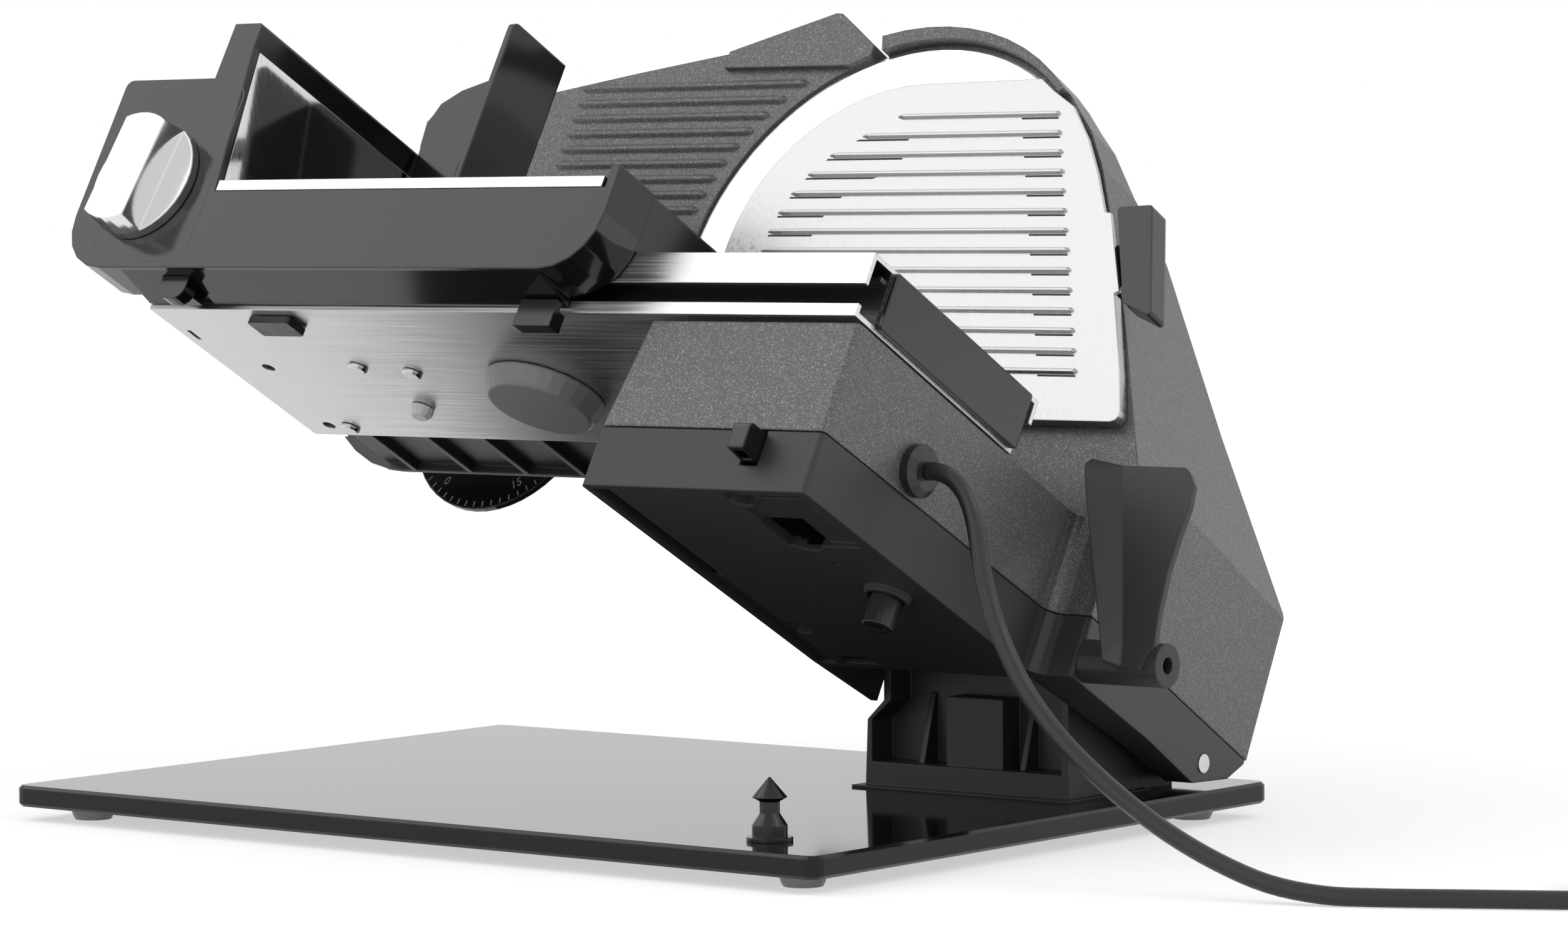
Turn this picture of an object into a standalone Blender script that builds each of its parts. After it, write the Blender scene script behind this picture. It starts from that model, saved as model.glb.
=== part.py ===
# Household food slicer whose machine tilts up about a hinge at the back of a glass base plate.
# Lengths are metres. The plate frame has X to the right, Y to the back and Z up, with its zero at
# the front left corner of the plate's top face. The machine frame has the same X, its zero on the
# tilt hinge, Y towards the back of the machine and Z towards its top.

import math

import bmesh
import bpy
from mathutils import Matrix, Vector

for old in list(bpy.data.objects):
    bpy.data.objects.remove(old, do_unlink=True)

# General clearances
GAP = 0.0003
RUN = 0.0006
OVERRUN = 0.004
ROUND_STEPS = 24
SMALL_ROUND_STEPS = 12

# Housing block under the rail, in the machine frame
BLOCK_LEFT = 0.257
BLOCK_RIGHT = 0.3491
BLOCK_FRONT = -0.2384
PARTING_FRONT = 0.0072
PARTING_BACK = 0.0134
SHELL_WALL = 0.0028
FRONT_DROP = 0.0216
MIDDLE_DROP = 0.0224
FLOOR_THICKNESS = 0.0024

# Glass base plate and its feet
PLATE_RIGHT_MARGIN = 0.0109
STUD_Y = 0.0255
STUD_REACH = 0.1993
HINGE_BACK_INSET = 0.0392
PLATE_WIDTH = BLOCK_RIGHT + PLATE_RIGHT_MARGIN
PLATE_DEPTH = STUD_Y + STUD_REACH + HINGE_BACK_INSET
PLATE_THICKNESS = 0.0076
PLATE_CORNER_RADIUS = 0.005
PLATE_CHAMFER = 0.0011
FOOT_HEIGHT = 0.005
FOOT_TOP_RADIUS = 0.0085
FOOT_TIP_RADIUS = 0.0065
FOOT_INSET = 0.020

# Tilt hinge
HINGE_HEIGHT = 0.0095
TILT_OPEN = math.radians(29.3)
PIN_RADIUS = 0.003
PIN_HEAD_RADIUS = 0.0034
PIN_HEAD_DEPTH = 0.0006

# Hinge bracket on the plate
BRACKET_LEFT = 0.2535
BRACKET_LEFT_RISE = 0.0010
BRACKET_RIGHT = 0.340
BRACKET_FRONT = PLATE_DEPTH - 0.096
BRACKET_BACK = PLATE_DEPTH - 0.050
BRACKET_HEIGHT = 0.052
BRACKET_WALL = 0.0028
BRACKET_FLANGE = 0.0035
BRACKET_FLANGE_THICKNESS = 0.0009
BRACKET_SHOULDER_HEIGHT = 0.024
BRACKET_SHOULDER_RISE = 0.007
BRACKET_SHOULDER_INSET = 0.0082
BRACKET_RECESS_FLOOR = 0.0092
BRACKET_RECESS_DEPTH = 0.012
BRACKET_BLOCK_LEFT = 0.2873
BRACKET_BLOCK_RIGHT = 0.3112
BRACKET_BLOCK_TOP = 0.0335
BRACKET_BLOCK_INSET = 0.0020
BRACKET_RIB_WIDTH = 0.0022
BRACKET_EAR_BACK = 0.0075
BRACKET_EAR_TOP = 0.0075
BRACKET_EAR_INSET = 0.0005

# Latch stud on the plate
STUD_X = 0.3223
STUD_FLANGE_RADIUS = 0.0076
STUD_FLANGE_THICKNESS = 0.0014
STUD_BODY_RADIUS = 0.0058
STUD_NECK_RADIUS = 0.0033
STUD_NECK_START = 0.009
STUD_NECK_END = 0.0128
STUD_HEAD_RADIUS = 0.0058
STUD_HEAD_START = 0.0142
STUD_HEIGHT = 0.0206

# Tower behind the blade
TOWER_FRONT = -0.098
TOWER_SIDE = 0.3658
TOWER_BACK = 0.0284
SIDE_TAPER = 0.0857
UPPER_TAPER = 0.426
SIDE_KNEE = 0.068
TOWER_LEFT = 0.152
TOWER_SHELF = 0.052

# Blade, its recess and the band that guards it
BLADE_X = 0.2285
BLADE_Z = 0.1482
BLADE_RADIUS = 0.085
BLADE_THICKNESS = 0.0012
BLADE_DISH = 0.0030
BLADE_FLAT_RADIUS = 0.062
RECESS_RADIUS = BLADE_RADIUS + 0.0016
GUARD_RADIUS = BLADE_RADIUS + 0.0040
GUARD_PROUD = 0.0050

# Places on the machine that several pieces share
RAIL_BACK = -0.142
LEVER_Y = -0.092
LEVER_Z = -0.0035
LEVER_SHAFT_RADIUS = 0.0038
LEVER_SHAFT_INSIDE = 0.0060


# Frames

def empty(name, parent=None, place=(0, 0, 0), turn=0.0):
    guide = bpy.data.objects.new(name, None)
    bpy.context.scene.collection.objects.link(guide)
    guide.parent = parent
    guide.location = place
    guide.rotation_euler = (turn, 0, 0)
    return guide


HINGE = Vector((0, PLATE_DEPTH - HINGE_BACK_INSET, HINGE_HEIGHT))
root = empty("root")
plate_frame = empty("plate_frame", root)
machine_frame = empty("machine_frame", plate_frame, HINGE, -TILT_OPEN)


# Materials

def material(name, colour, roughness, metallic=0.0):
    made = bpy.data.materials.new(name)
    made.use_nodes = True
    shader = made.node_tree.nodes["Principled BSDF"]
    shader.inputs["Base Color"].default_value = (*colour, 1.0)
    shader.inputs["Roughness"].default_value = roughness
    shader.inputs["Metallic"].default_value = metallic
    made.diffuse_color = (*colour, 1.0)
    return made


black_glass = material("black_glass", (0.012, 0.012, 0.013), 0.05)
clear_rubber = material("clear_rubber", (0.75, 0.75, 0.75), 0.4)
metallic_paint = material("metallic_paint", (0.075, 0.075, 0.078), 0.38, 0.5)
grey_plastic = material("grey_plastic", (0.050, 0.050, 0.052), 0.5)
gloss_plastic = material("gloss_plastic", (0.030, 0.030, 0.032), 0.25)
black_rubber = material("black_rubber", (0.015, 0.015, 0.015), 0.55)
light_plastic = material("light_plastic", (0.45, 0.45, 0.45), 0.5)
white_plastic = material("white_plastic", (0.85, 0.85, 0.83), 0.35)
aluminium = material("aluminium", (0.80, 0.80, 0.80), 0.3, 1.0)
stainless = material("stainless", (0.86, 0.86, 0.86), 0.22, 1.0)
steel = material("steel", (0.55, 0.55, 0.55), 0.3, 1.0)
nylon = material("nylon", (0.72, 0.70, 0.62), 0.5)


# Shapes

def placed(name, mesh, finish, frame, origin=(0, 0, 0)):
    """An object whose mesh is written in the given frame and whose parent empty sits at the origin."""
    mesh.name = name
    part = bpy.data.objects.new(name, mesh)
    bpy.context.scene.collection.objects.link(part)
    part.parent = frame
    part.location = -Vector(origin)
    mesh.materials.clear()
    mesh.materials.append(finish)
    mesh.shade_smooth()
    mesh.set_sharp_from_angle(angle=math.radians(30))
    return part


def mesh_of(shape):
    bmesh.ops.recalc_face_normals(shape, faces=shape.faces)
    mesh = bpy.data.meshes.new("shape")
    shape.to_mesh(mesh)
    shape.free()
    return mesh


def loft(rings):
    """A closed mesh through rings of equally many points, capped at both ends."""
    shape = bmesh.new()
    loops = [[shape.verts.new(point) for point in ring] for ring in rings]
    count = len(loops[0])
    for low, high in zip(loops, loops[1:]):
        for k in range(count):
            n = (k + 1) % count
            shape.faces.new((low[k], low[n], high[n], high[k]))
    shape.faces.new(loops[0])
    shape.faces.new(loops[-1])
    return mesh_of(shape)


def prism_x(outline, start, end):
    return loft([[(x, y, z) for y, z in outline] for x in (start, end)])


def prism_y(outline, start, end):
    return loft([[(x, y, z) for x, z in outline] for y in (start, end)])


def prism_z(outline, start, end):
    return loft([[(x, y, z) for x, y in outline] for z in (start, end)])


def block(low, high):
    return prism_z([(low[0], low[1]), (high[0], low[1]), (high[0], high[1]), (low[0], high[1])],
                   low[2], high[2])


def turned(profile, centre, axis, steps=ROUND_STEPS):
    """A body turned about an axis through the centre, from pairs of distance along it and radius."""
    direction = Vector(axis).normalized()
    side = direction.orthogonal().normalized()
    other = direction.cross(side)
    rings = []
    for along, radius in profile:
        ring = []
        for k in range(steps):
            angle = math.tau * k / steps
            arm = side * math.cos(angle) + other * math.sin(angle)
            ring.append(Vector(centre) + direction * along + arm * radius)
        rings.append(ring)
    return loft(rings)


def arc(centre, radius, start, end, steps):
    """Points of an arc in a plane, between two angles in degrees."""
    points = []
    for k in range(steps + 1):
        angle = math.radians(start + (end - start) * k / steps)
        points.append((centre[0] + radius * math.cos(angle), centre[1] + radius * math.sin(angle)))
    return points


def rounded(outline, radii, steps=4):
    """The outline with its corners turned into arcs of the given radii."""
    made = []
    count = len(outline)
    for k, corner in enumerate(outline):
        radius = radii[k] if isinstance(radii, (list, tuple)) else radii
        if not radius:
            made.append(corner)
            continue
        here = Vector(corner)
        before = (Vector(outline[k - 1]) - here).normalized()
        after = (Vector(outline[(k + 1) % count]) - here).normalized()
        half = before.angle(after) / 2
        reach = radius / math.tan(half)
        centre = here + (before + after).normalized() * (radius / math.sin(half))
        first = here + before * reach - centre
        turn = first.angle_signed(here + after * reach - centre)
        for step in range(steps + 1):
            spoke = first.copy()
            spoke.rotate(Matrix.Rotation(-turn * step / steps, 2))
            made.append(tuple(centre + spoke))
    return made


def box_outline(low, high):
    return [(low[0], low[1]), (high[0], low[1]), (high[0], high[1]), (low[0], high[1])]


def combine(mesh, others, operation):
    """The mesh after a Boolean with each of the others in turn."""
    body = bpy.data.objects.new("body", mesh)
    bpy.context.scene.collection.objects.link(body)
    for other in others:
        tool = bpy.data.objects.new("tool", other)
        bpy.context.scene.collection.objects.link(tool)
        step = body.modifiers.new("step", "BOOLEAN")
        step.operation = operation
        step.solver = "EXACT"
        step.object = tool
        graph = bpy.context.evaluated_depsgraph_get()
        result = bpy.data.meshes.new_from_object(body.evaluated_get(graph), depsgraph=graph)
        body.modifiers.clear()
        body.data = result
        bpy.data.objects.remove(tool, do_unlink=True)
    result = body.data
    bpy.data.objects.remove(body, do_unlink=True)
    return result


def cut(mesh, *others):
    return combine(mesh, others, "DIFFERENCE")


def fuse(mesh, *others):
    return combine(mesh, others, "UNION")


def common(mesh, *others):
    return combine(mesh, others, "INTERSECT")


# Base plate, feet, latch stud, hinge bracket and pins

def plate_outline(inset):
    low = (inset, inset)
    high = (PLATE_WIDTH - inset, PLATE_DEPTH - inset)
    return rounded(box_outline(low, high), PLATE_CORNER_RADIUS - inset)


def make_base_plate():
    levels = [(-PLATE_THICKNESS, PLATE_CHAMFER), (-PLATE_THICKNESS + PLATE_CHAMFER, 0.0),
              (-PLATE_CHAMFER, 0.0), (0.0, PLATE_CHAMFER)]
    rings = [[(x, y, z) for x, y in plate_outline(inset)] for z, inset in levels]
    placed("base_plate", loft(rings), black_glass, plate_frame)


def make_feet():
    names = {"foot_front_left": (0, 0), "foot_front_right": (1, 0),
             "foot_back_left": (0, 1), "foot_back_right": (1, 1)}
    tip_edge = FOOT_HEIGHT / 4
    profile = [(0.0, FOOT_TOP_RADIUS), (FOOT_HEIGHT - tip_edge, FOOT_TIP_RADIUS + tip_edge / 2),
               (FOOT_HEIGHT, FOOT_TIP_RADIUS)]
    for name, (right, back) in names.items():
        x = FOOT_INSET + right * (PLATE_WIDTH - 2 * FOOT_INSET)
        y = FOOT_INSET + back * (PLATE_DEPTH - 2 * FOOT_INSET)
        foot = turned(profile, (x, y, -PLATE_THICKNESS), (0, 0, -1))
        placed(name, foot, clear_rubber, plate_frame)


def make_latch_stud():
    profile = [(0.0, STUD_FLANGE_RADIUS), (STUD_FLANGE_THICKNESS, STUD_FLANGE_RADIUS),
               (STUD_FLANGE_THICKNESS, STUD_BODY_RADIUS),
               ((STUD_FLANGE_THICKNESS + STUD_NECK_START) / 2, STUD_BODY_RADIUS),
               (STUD_NECK_START, STUD_NECK_RADIUS), (STUD_NECK_END, STUD_NECK_RADIUS),
               (STUD_HEAD_START, STUD_HEAD_RADIUS), (STUD_HEIGHT, GAP)]
    stud = turned(profile, (STUD_X, STUD_Y, 0), (0, 0, 1))
    placed("latch_stud", stud, gloss_plastic, plate_frame)


def make_hinge_bracket():
    shoulder = BRACKET_SHOULDER_HEIGHT + BRACKET_SHOULDER_RISE
    narrow = BRACKET_LEFT + BRACKET_SHOULDER_INSET
    face = [(BRACKET_LEFT, 0.0), (BRACKET_RIGHT, 0.0), (BRACKET_RIGHT, BRACKET_HEIGHT),
            (narrow, BRACKET_HEIGHT), (narrow, shoulder),
            (BRACKET_LEFT + BRACKET_LEFT_RISE, BRACKET_SHOULDER_HEIGHT)]
    body = prism_y(face, BRACKET_FRONT, BRACKET_BACK)
    flange = block((BRACKET_LEFT - BRACKET_FLANGE, BRACKET_FRONT - BRACKET_FLANGE, 0.0),
                   (BRACKET_RIGHT + BRACKET_FLANGE / 2, BRACKET_BACK + GAP, BRACKET_FLANGE_THICKNESS))
    ear_left = narrow + BRACKET_EAR_INSET
    ear_right = BRACKET_RIGHT - BRACKET_EAR_INSET
    ear_profile = rounded([(BRACKET_BACK - OVERRUN, 0.0), (HINGE.y + BRACKET_EAR_BACK, 0.0),
                           (HINGE.y + BRACKET_EAR_BACK, HINGE.z + BRACKET_EAR_TOP),
                           (BRACKET_BACK - OVERRUN, HINGE.z + BRACKET_EAR_TOP)],
                          [0, 0, BRACKET_EAR_TOP / 2, 0])
    ears = prism_x(ear_profile, ear_left, ear_right)
    recess_back = BRACKET_FRONT + BRACKET_RECESS_DEPTH
    left = BRACKET_LEFT + BRACKET_WALL
    right = BRACKET_RIGHT - BRACKET_WALL
    step = narrow + BRACKET_WALL
    top = BRACKET_HEIGHT + OVERRUN
    pocket = prism_y([(left, BRACKET_RECESS_FLOOR), (right, BRACKET_RECESS_FLOOR), (right, top),
                      (step, top),
                      (step, shoulder), (left, BRACKET_SHOULDER_HEIGHT)], BRACKET_FRONT - OVERRUN,
                     recess_back)
    middle = block((BRACKET_BLOCK_LEFT, BRACKET_FRONT + BRACKET_BLOCK_INSET, BRACKET_RECESS_FLOOR - GAP),
                   (BRACKET_BLOCK_RIGHT, recess_back + GAP, BRACKET_BLOCK_TOP))
    ribs = []
    for share, lean in ((0.22, 1), (0.78, -1)):
        x = left + (right - left) * share
        foot = BRACKET_RECESS_DEPTH * 0.3
        low = BRACKET_RECESS_FLOOR - GAP
        outline = [(BRACKET_FRONT + foot, low), (recess_back + GAP, low),
                   (recess_back + GAP, BRACKET_BLOCK_TOP), (recess_back - foot / 3, BRACKET_BLOCK_TOP)]
        ribs.append(prism_x(outline, x, x + lean * BRACKET_RIB_WIDTH))
    bore = turned([(0.0, PIN_RADIUS + GAP), (BRACKET_RIGHT, PIN_RADIUS + GAP)], (0, HINGE.y, HINGE.z),
                  (1, 0, 0),
                  SMALL_ROUND_STEPS)
    bracket = cut(fuse(cut(fuse(body, flange, ears), pocket), middle, *ribs), bore)
    placed("hinge_bracket", bracket, grey_plastic, plate_frame)


def make_hinge_pins():
    right_end = TOWER_SIDE + SIDE_TAPER * TOWER_FRONT
    middle = (BRACKET_LEFT + BRACKET_RIGHT) / 2
    ends = {"hinge_pin_right": (right_end + PIN_HEAD_DEPTH, middle + RUN, -1),
            "hinge_pin_left": (BLOCK_LEFT - PIN_HEAD_DEPTH, middle - RUN, 1)}
    for name, (head, tip, way) in ends.items():
        length = abs(tip - head)
        profile = [(0.0, PIN_HEAD_RADIUS), (PIN_HEAD_DEPTH - GAP, PIN_HEAD_RADIUS),
                   (PIN_HEAD_DEPTH - GAP, PIN_RADIUS), (length, PIN_RADIUS)]
        pin = turned(profile, (head, HINGE.y, HINGE.z), (way, 0, 0), SMALL_ROUND_STEPS)
        placed(name, pin, steel, plate_frame)


make_base_plate()
make_feet()
make_latch_stud()
make_hinge_bracket()
make_hinge_pins()


# Housings

HINGE_FLOOR = 0.0088
HINGE_FLOOR_START = -0.040
HINGE_FLOOR_END = -0.003
BACK_FLAT_Y = 0.019
BACK_FLAT_Z = 0.0025
BLOCK_TOP = 0.0462
BLOCK_LEAN = 0.0076
PAD_INSET = 0.007
EDGE_RADIUS = 0.0016
STEP_RADIUS = 0.006
BAY_FRONT = -0.0940
BAY_BACK = 0.0155
NOTCH_FRONT = -0.0612
NOTCH_BACK = -0.0065
NOTCH_TOP = 0.0225
RAIL_BOTTOM = 0.0482


def parting(y):
    share = (y - BLOCK_FRONT) / (TOWER_BACK - BLOCK_FRONT)
    return PARTING_FRONT + (PARTING_BACK - PARTING_FRONT) * share


def side_at(y):
    return TOWER_SIDE - SIDE_TAPER * (y - TOWER_FRONT)


def plan_outline(inset):
    """The housings seen from above: a narrow block in front and a wider, tapering tower behind."""
    left = BLOCK_LEFT + inset
    front = BLOCK_FRONT + inset
    back = TOWER_BACK - inset
    corners = [(left, front), (BLOCK_RIGHT - inset, front),
               (BLOCK_RIGHT - inset, TOWER_FRONT + inset),
               (side_at(TOWER_FRONT) - inset, TOWER_FRONT + inset),
               (side_at(back) - inset, back), (left, back)]
    return rounded(corners, [EDGE_RADIUS, EDGE_RADIUS, STEP_RADIUS, EDGE_RADIUS, EDGE_RADIUS, EDGE_RADIUS],
                   3)


def lower_profile(raised, top):
    """The lower housing from the side, its floor raised and its top edge moved by the given heights."""
    return [(BLOCK_FRONT, parting(BLOCK_FRONT) - FRONT_DROP + raised),
            (TOWER_FRONT, parting(TOWER_FRONT) - MIDDLE_DROP + raised),
            (HINGE_FLOOR_START, -HINGE_FLOOR + raised), (HINGE_FLOOR_END, -HINGE_FLOOR + raised),
            (BACK_FLAT_Y, BACK_FLAT_Z + raised), (TOWER_BACK, PARTING_BACK - GAP + max(top, raised)),
            (BLOCK_FRONT, PARTING_FRONT - GAP + top)]


def floor_at(y):
    front = parting(BLOCK_FRONT) - FRONT_DROP
    middle = parting(TOWER_FRONT) - MIDDLE_DROP
    return front + (middle - front) * (y - BLOCK_FRONT) / (TOWER_FRONT - BLOCK_FRONT)


LATCH_LEFT = 0.3150
LATCH_RIGHT = 0.3440
LATCH_FRONT = -0.2250
LATCH_BACK = -0.1965
LATCH_STEP_RIGHT = 0.3455
POCKET_LEFT = 0.3205
POCKET_FRONT = -0.2350
GROOVE_WIDTH = 0.0075
GROOVE_DEPTH = 0.0012
CATCH_THICKNESS = 0.0016
CATCH_SLOT_WIDTH = 0.0160
CATCH_SLOT_FRONT = -0.2130
CHECK_HOLE_X = 0.3230
CHECK_HOLE_Y = -0.1845
CHECK_HOLE_SIZE = 0.0022
SCREW_HEAD_RADIUS = 0.0037
SCREW_SHANK_RADIUS = 0.0015
SCREW_HEAD_HEIGHT = 0.0016
SCREW_LENGTH = 0.0060
SCREW_RECESS_RADIUS = 0.0048
SCREW_RECESS_DEPTH = 0.0050
SCREW_PLACES = {"front": (0.318, -0.2315), "back": (0.2708, -0.1270)}
SCREW_BOSS_WALL = 0.0022
VENT_X = 0.278
VENT_Y = -0.104
VENT_LENGTH = 0.014
VENT_WIDTH = 0.006
PLUNGER_X = 0.331
PLUNGER_Y = -0.161
PLUNGER_RADIUS = 0.0052
PLUNGER_BORE = 0.0028
PLUNGER_LENGTH = 0.0125
PLUNGER_GUIDE = 0.0130
PLUNGER_STROKE = 0.0076
COLLAR_RADIUS = 0.0082
COLLAR_INNER_RADIUS = 0.0066
COLLAR_HEIGHT = 0.0024
BUTTON_X = 0.3233
BUTTON_WIDTH = 0.0066
BUTTON_BOTTOM = -0.0052
BUTTON_TOP = 0.0058
BUTTON_PROUD = 0.0090
BUTTON_STEM = 0.0150


def make_lower_housing():
    plan = prism_z(plan_outline(0.0), -BLOCK_TOP, BLOCK_TOP)
    outside = common(prism_x(lower_profile(0.0, 0.0), 0.0, TOWER_SIDE + OVERRUN), plan)
    room = common(prism_x(lower_profile(FLOOR_THICKNESS, OVERRUN), 0.0, TOWER_SIDE + OVERRUN),
                  prism_z(plan_outline(SHELL_WALL), -BLOCK_TOP, BLOCK_TOP))
    bay = block((BLOCK_LEFT + SHELL_WALL, BAY_FRONT, -BLOCK_TOP),
                (BLOCK_RIGHT - SHELL_WALL, BAY_BACK, BLOCK_TOP))
    notch = block((BLOCK_LEFT - OVERRUN, NOTCH_FRONT, -BLOCK_TOP),
                  (BLOCK_LEFT + SHELL_WALL + GAP, NOTCH_BACK, BLOCK_TOP))
    groove = block((BLOCK_LEFT + SHELL_WALL, BLOCK_FRONT + SHELL_WALL, -BLOCK_TOP),
                   (BLOCK_LEFT + SHELL_WALL + GROOVE_WIDTH, BAY_FRONT - SHELL_WALL,
                    floor_at(TOWER_FRONT) + GROOVE_DEPTH))
    shell = cut(outside, room, bay, notch)
    low = floor_at(BLOCK_FRONT)
    bosses = []
    bores = []
    for x, y in SCREW_PLACES.values():
        floor = floor_at(y)
        bosses.append(turned([(FLOOR_THICKNESS / 2, SCREW_RECESS_RADIUS + SCREW_BOSS_WALL),
                              (SCREW_RECESS_DEPTH + SCREW_BOSS_WALL,
                               SCREW_RECESS_RADIUS + SCREW_BOSS_WALL)],
                             (x, y, floor), (0, 0, 1), SMALL_ROUND_STEPS))
        bores.append(turned([(-OVERRUN, SCREW_RECESS_RADIUS), (SCREW_RECESS_DEPTH, SCREW_RECESS_RADIUS)],
                            (x, y, floor), (0, 0, 1), SMALL_ROUND_STEPS))
        bores.append(turned([(SCREW_RECESS_DEPTH - GAP, SCREW_SHANK_RADIUS + GAP),
                             (SCREW_RECESS_DEPTH + SCREW_LENGTH, SCREW_SHANK_RADIUS + GAP)],
                            (x, y, floor), (0, 0, 1), 8))
    guide_floor = floor_at(PLUNGER_Y)
    bosses.append(turned([(FLOOR_THICKNESS / 2, COLLAR_INNER_RADIUS + SCREW_BOSS_WALL),
                          (PLUNGER_GUIDE + SCREW_BOSS_WALL, COLLAR_INNER_RADIUS + SCREW_BOSS_WALL)],
                         (PLUNGER_X, PLUNGER_Y, guide_floor), (0, 0, 1), SMALL_ROUND_STEPS))
    bores.append(turned([(-OVERRUN, PLUNGER_RADIUS + RUN), (PLUNGER_GUIDE, PLUNGER_RADIUS + RUN)],
                        (PLUNGER_X, PLUNGER_Y, guide_floor), (0, 0, 1), SMALL_ROUND_STEPS))
    pocket = block((POCKET_LEFT, POCKET_FRONT, low - OVERRUN),
                   (LATCH_STEP_RIGHT, LATCH_FRONT + GAP, low + FLOOR_THICKNESS + GAP))
    catch_low = floor_at(LATCH_BACK) + FLOOR_THICKNESS - GAP
    catch = block((LATCH_LEFT - SHELL_WALL, LATCH_FRONT - SHELL_WALL, catch_low),
                  (LATCH_RIGHT + GAP, LATCH_BACK + SHELL_WALL, catch_low + CATCH_THICKNESS))
    slot = block((STUD_X - CATCH_SLOT_WIDTH / 2, CATCH_SLOT_FRONT, low),
                 (STUD_X + CATCH_SLOT_WIDTH / 2, LATCH_BACK, BLOCK_TOP))
    latch = block((LATCH_LEFT, LATCH_FRONT, low - OVERRUN), (LATCH_RIGHT, LATCH_BACK, catch_low))
    stud_room = turned([(low - OVERRUN, STUD_BODY_RADIUS + RUN), (BLOCK_TOP, STUD_BODY_RADIUS + RUN)],
                       (STUD_X, -STUD_REACH, 0), (0, 0, 1), 16)
    check_hole = block((CHECK_HOLE_X, CHECK_HOLE_Y, low), (CHECK_HOLE_X + CHECK_HOLE_SIZE,
                       CHECK_HOLE_Y + CHECK_HOLE_SIZE, PARTING_FRONT))
    vent = block((VENT_X - VENT_LENGTH / 2, VENT_Y, low),
                 (VENT_X + VENT_LENGTH / 2, VENT_Y + VENT_WIDTH, PARTING_FRONT))
    button = block((BUTTON_X - BUTTON_WIDTH / 2 - GAP, BLOCK_FRONT - OVERRUN, BUTTON_BOTTOM - GAP),
                   (BUTTON_X + BUTTON_WIDTH / 2 + GAP, BLOCK_FRONT + SHELL_WALL + OVERRUN,
                    PARTING_FRONT + OVERRUN))
    pin_hole = turned([(0.0, PIN_RADIUS + GAP), (TOWER_SIDE + OVERRUN, PIN_RADIUS + GAP)], (0, 0, 0),
                      (1, 0, 0),
                      SMALL_ROUND_STEPS)
    lever_bore = turned([(0.0, LEVER_SHAFT_RADIUS + GAP),
                         (LEVER_SHAFT_INSIDE + OVERRUN, LEVER_SHAFT_RADIUS + GAP)],
                        (side_at(LEVER_Y) + OVERRUN, LEVER_Y, LEVER_Z), (-1, 0, 0), SMALL_ROUND_STEPS)
    collar = turned([(-COLLAR_HEIGHT, COLLAR_RADIUS - GAP), (0.0, COLLAR_RADIUS),
                     (FLOOR_THICKNESS / 2, COLLAR_RADIUS)],
                    (PLUNGER_X, PLUNGER_Y, guide_floor), (0, 0, 1), 16)
    bores.append(turned([(-OVERRUN, COLLAR_INNER_RADIUS), (-GAP, COLLAR_INNER_RADIUS)],
                        (PLUNGER_X, PLUNGER_Y, guide_floor), (0, 0, 1), 16))
    shell = fuse(shell, collar, catch, *bosses)
    shell = cut(shell, groove, latch, slot, stud_room, pocket, check_hole, vent, button, pin_hole,
                lever_bore,
                *bores)
    placed("lower_housing", shell, grey_plastic, machine_frame)


# Upper housing

TOWER_EDGE = [(0.3424, 0.1229), (0.3224, 0.1651), (0.3134, 0.1828), (0.3037, 0.1978)]
BACK_RIDGE = [(0.026, 0.070), (-0.0166, 0.118), (-0.0535, 0.1675), (-0.075, 0.183), (-0.084, 0.205)]
TOWER_TOP_BACK = -0.0865
TOWER_TOP = 0.2445
BODY_RADIUS = 0.0755
BAND_START_DEGREES = 46.6
BAND_END_DEGREES = 107.5
BODY_END_DEGREES = 240.0
SHELF_TOP = 0.0700
BAND_SPREAD = 0.0040
BLADE_CENTRE = (BLADE_X, BLADE_Z)
TOWER_WALL = 0.0030
AXLE_RADIUS = 0.0050
GLAND_Y = -0.1889
GLAND_Z = 0.0183
GLAND_NECK_RADIUS = 0.0060


def band_outer(steps):
    points = []
    for k in range(steps + 1):
        share = k / steps
        angle = math.radians(BAND_START_DEGREES + (BAND_END_DEGREES - BAND_START_DEGREES) * share)
        radius = GUARD_RADIUS + BAND_SPREAD * share
        points.append((BLADE_X + radius * math.cos(angle), BLADE_Z + radius * math.sin(angle)))
    return points


def tower_outline(inset):
    right = [(x - inset, z) for x, z in TOWER_EDGE]
    left = arc(BLADE_CENTRE, BODY_RADIUS - inset, BAND_END_DEGREES, BODY_END_DEGREES, 18)
    left += [(left[-1][0], SHELF_TOP - inset), (TOWER_LEFT + inset, SHELF_TOP - inset)]
    if inset:
        top = arc(BLADE_CENTRE, BODY_RADIUS - inset, BAND_START_DEGREES, BAND_END_DEGREES, 8)[:-1]
    else:
        top = band_outer(10)
    return ([(TOWER_SIDE + OVERRUN, 0.0), (TOWER_SIDE + OVERRUN, SIDE_KNEE)] + right + top + left
            + [(TOWER_LEFT + inset, TOWER_SHELF + inset), (BLOCK_LEFT + inset, TOWER_SHELF + inset),
               (BLOCK_LEFT + inset, 0.0)])


def tower_side(inset, foot):
    slim = [(y - inset, z) for y, z in BACK_RIDGE]
    return [(TOWER_FRONT + inset, parting(TOWER_FRONT) + foot),
            (TOWER_BACK - inset, parting(TOWER_BACK) + foot)] \
        + slim + [(TOWER_TOP_BACK - inset, TOWER_TOP - inset), (TOWER_FRONT + inset, TOWER_TOP - inset)]


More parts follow.
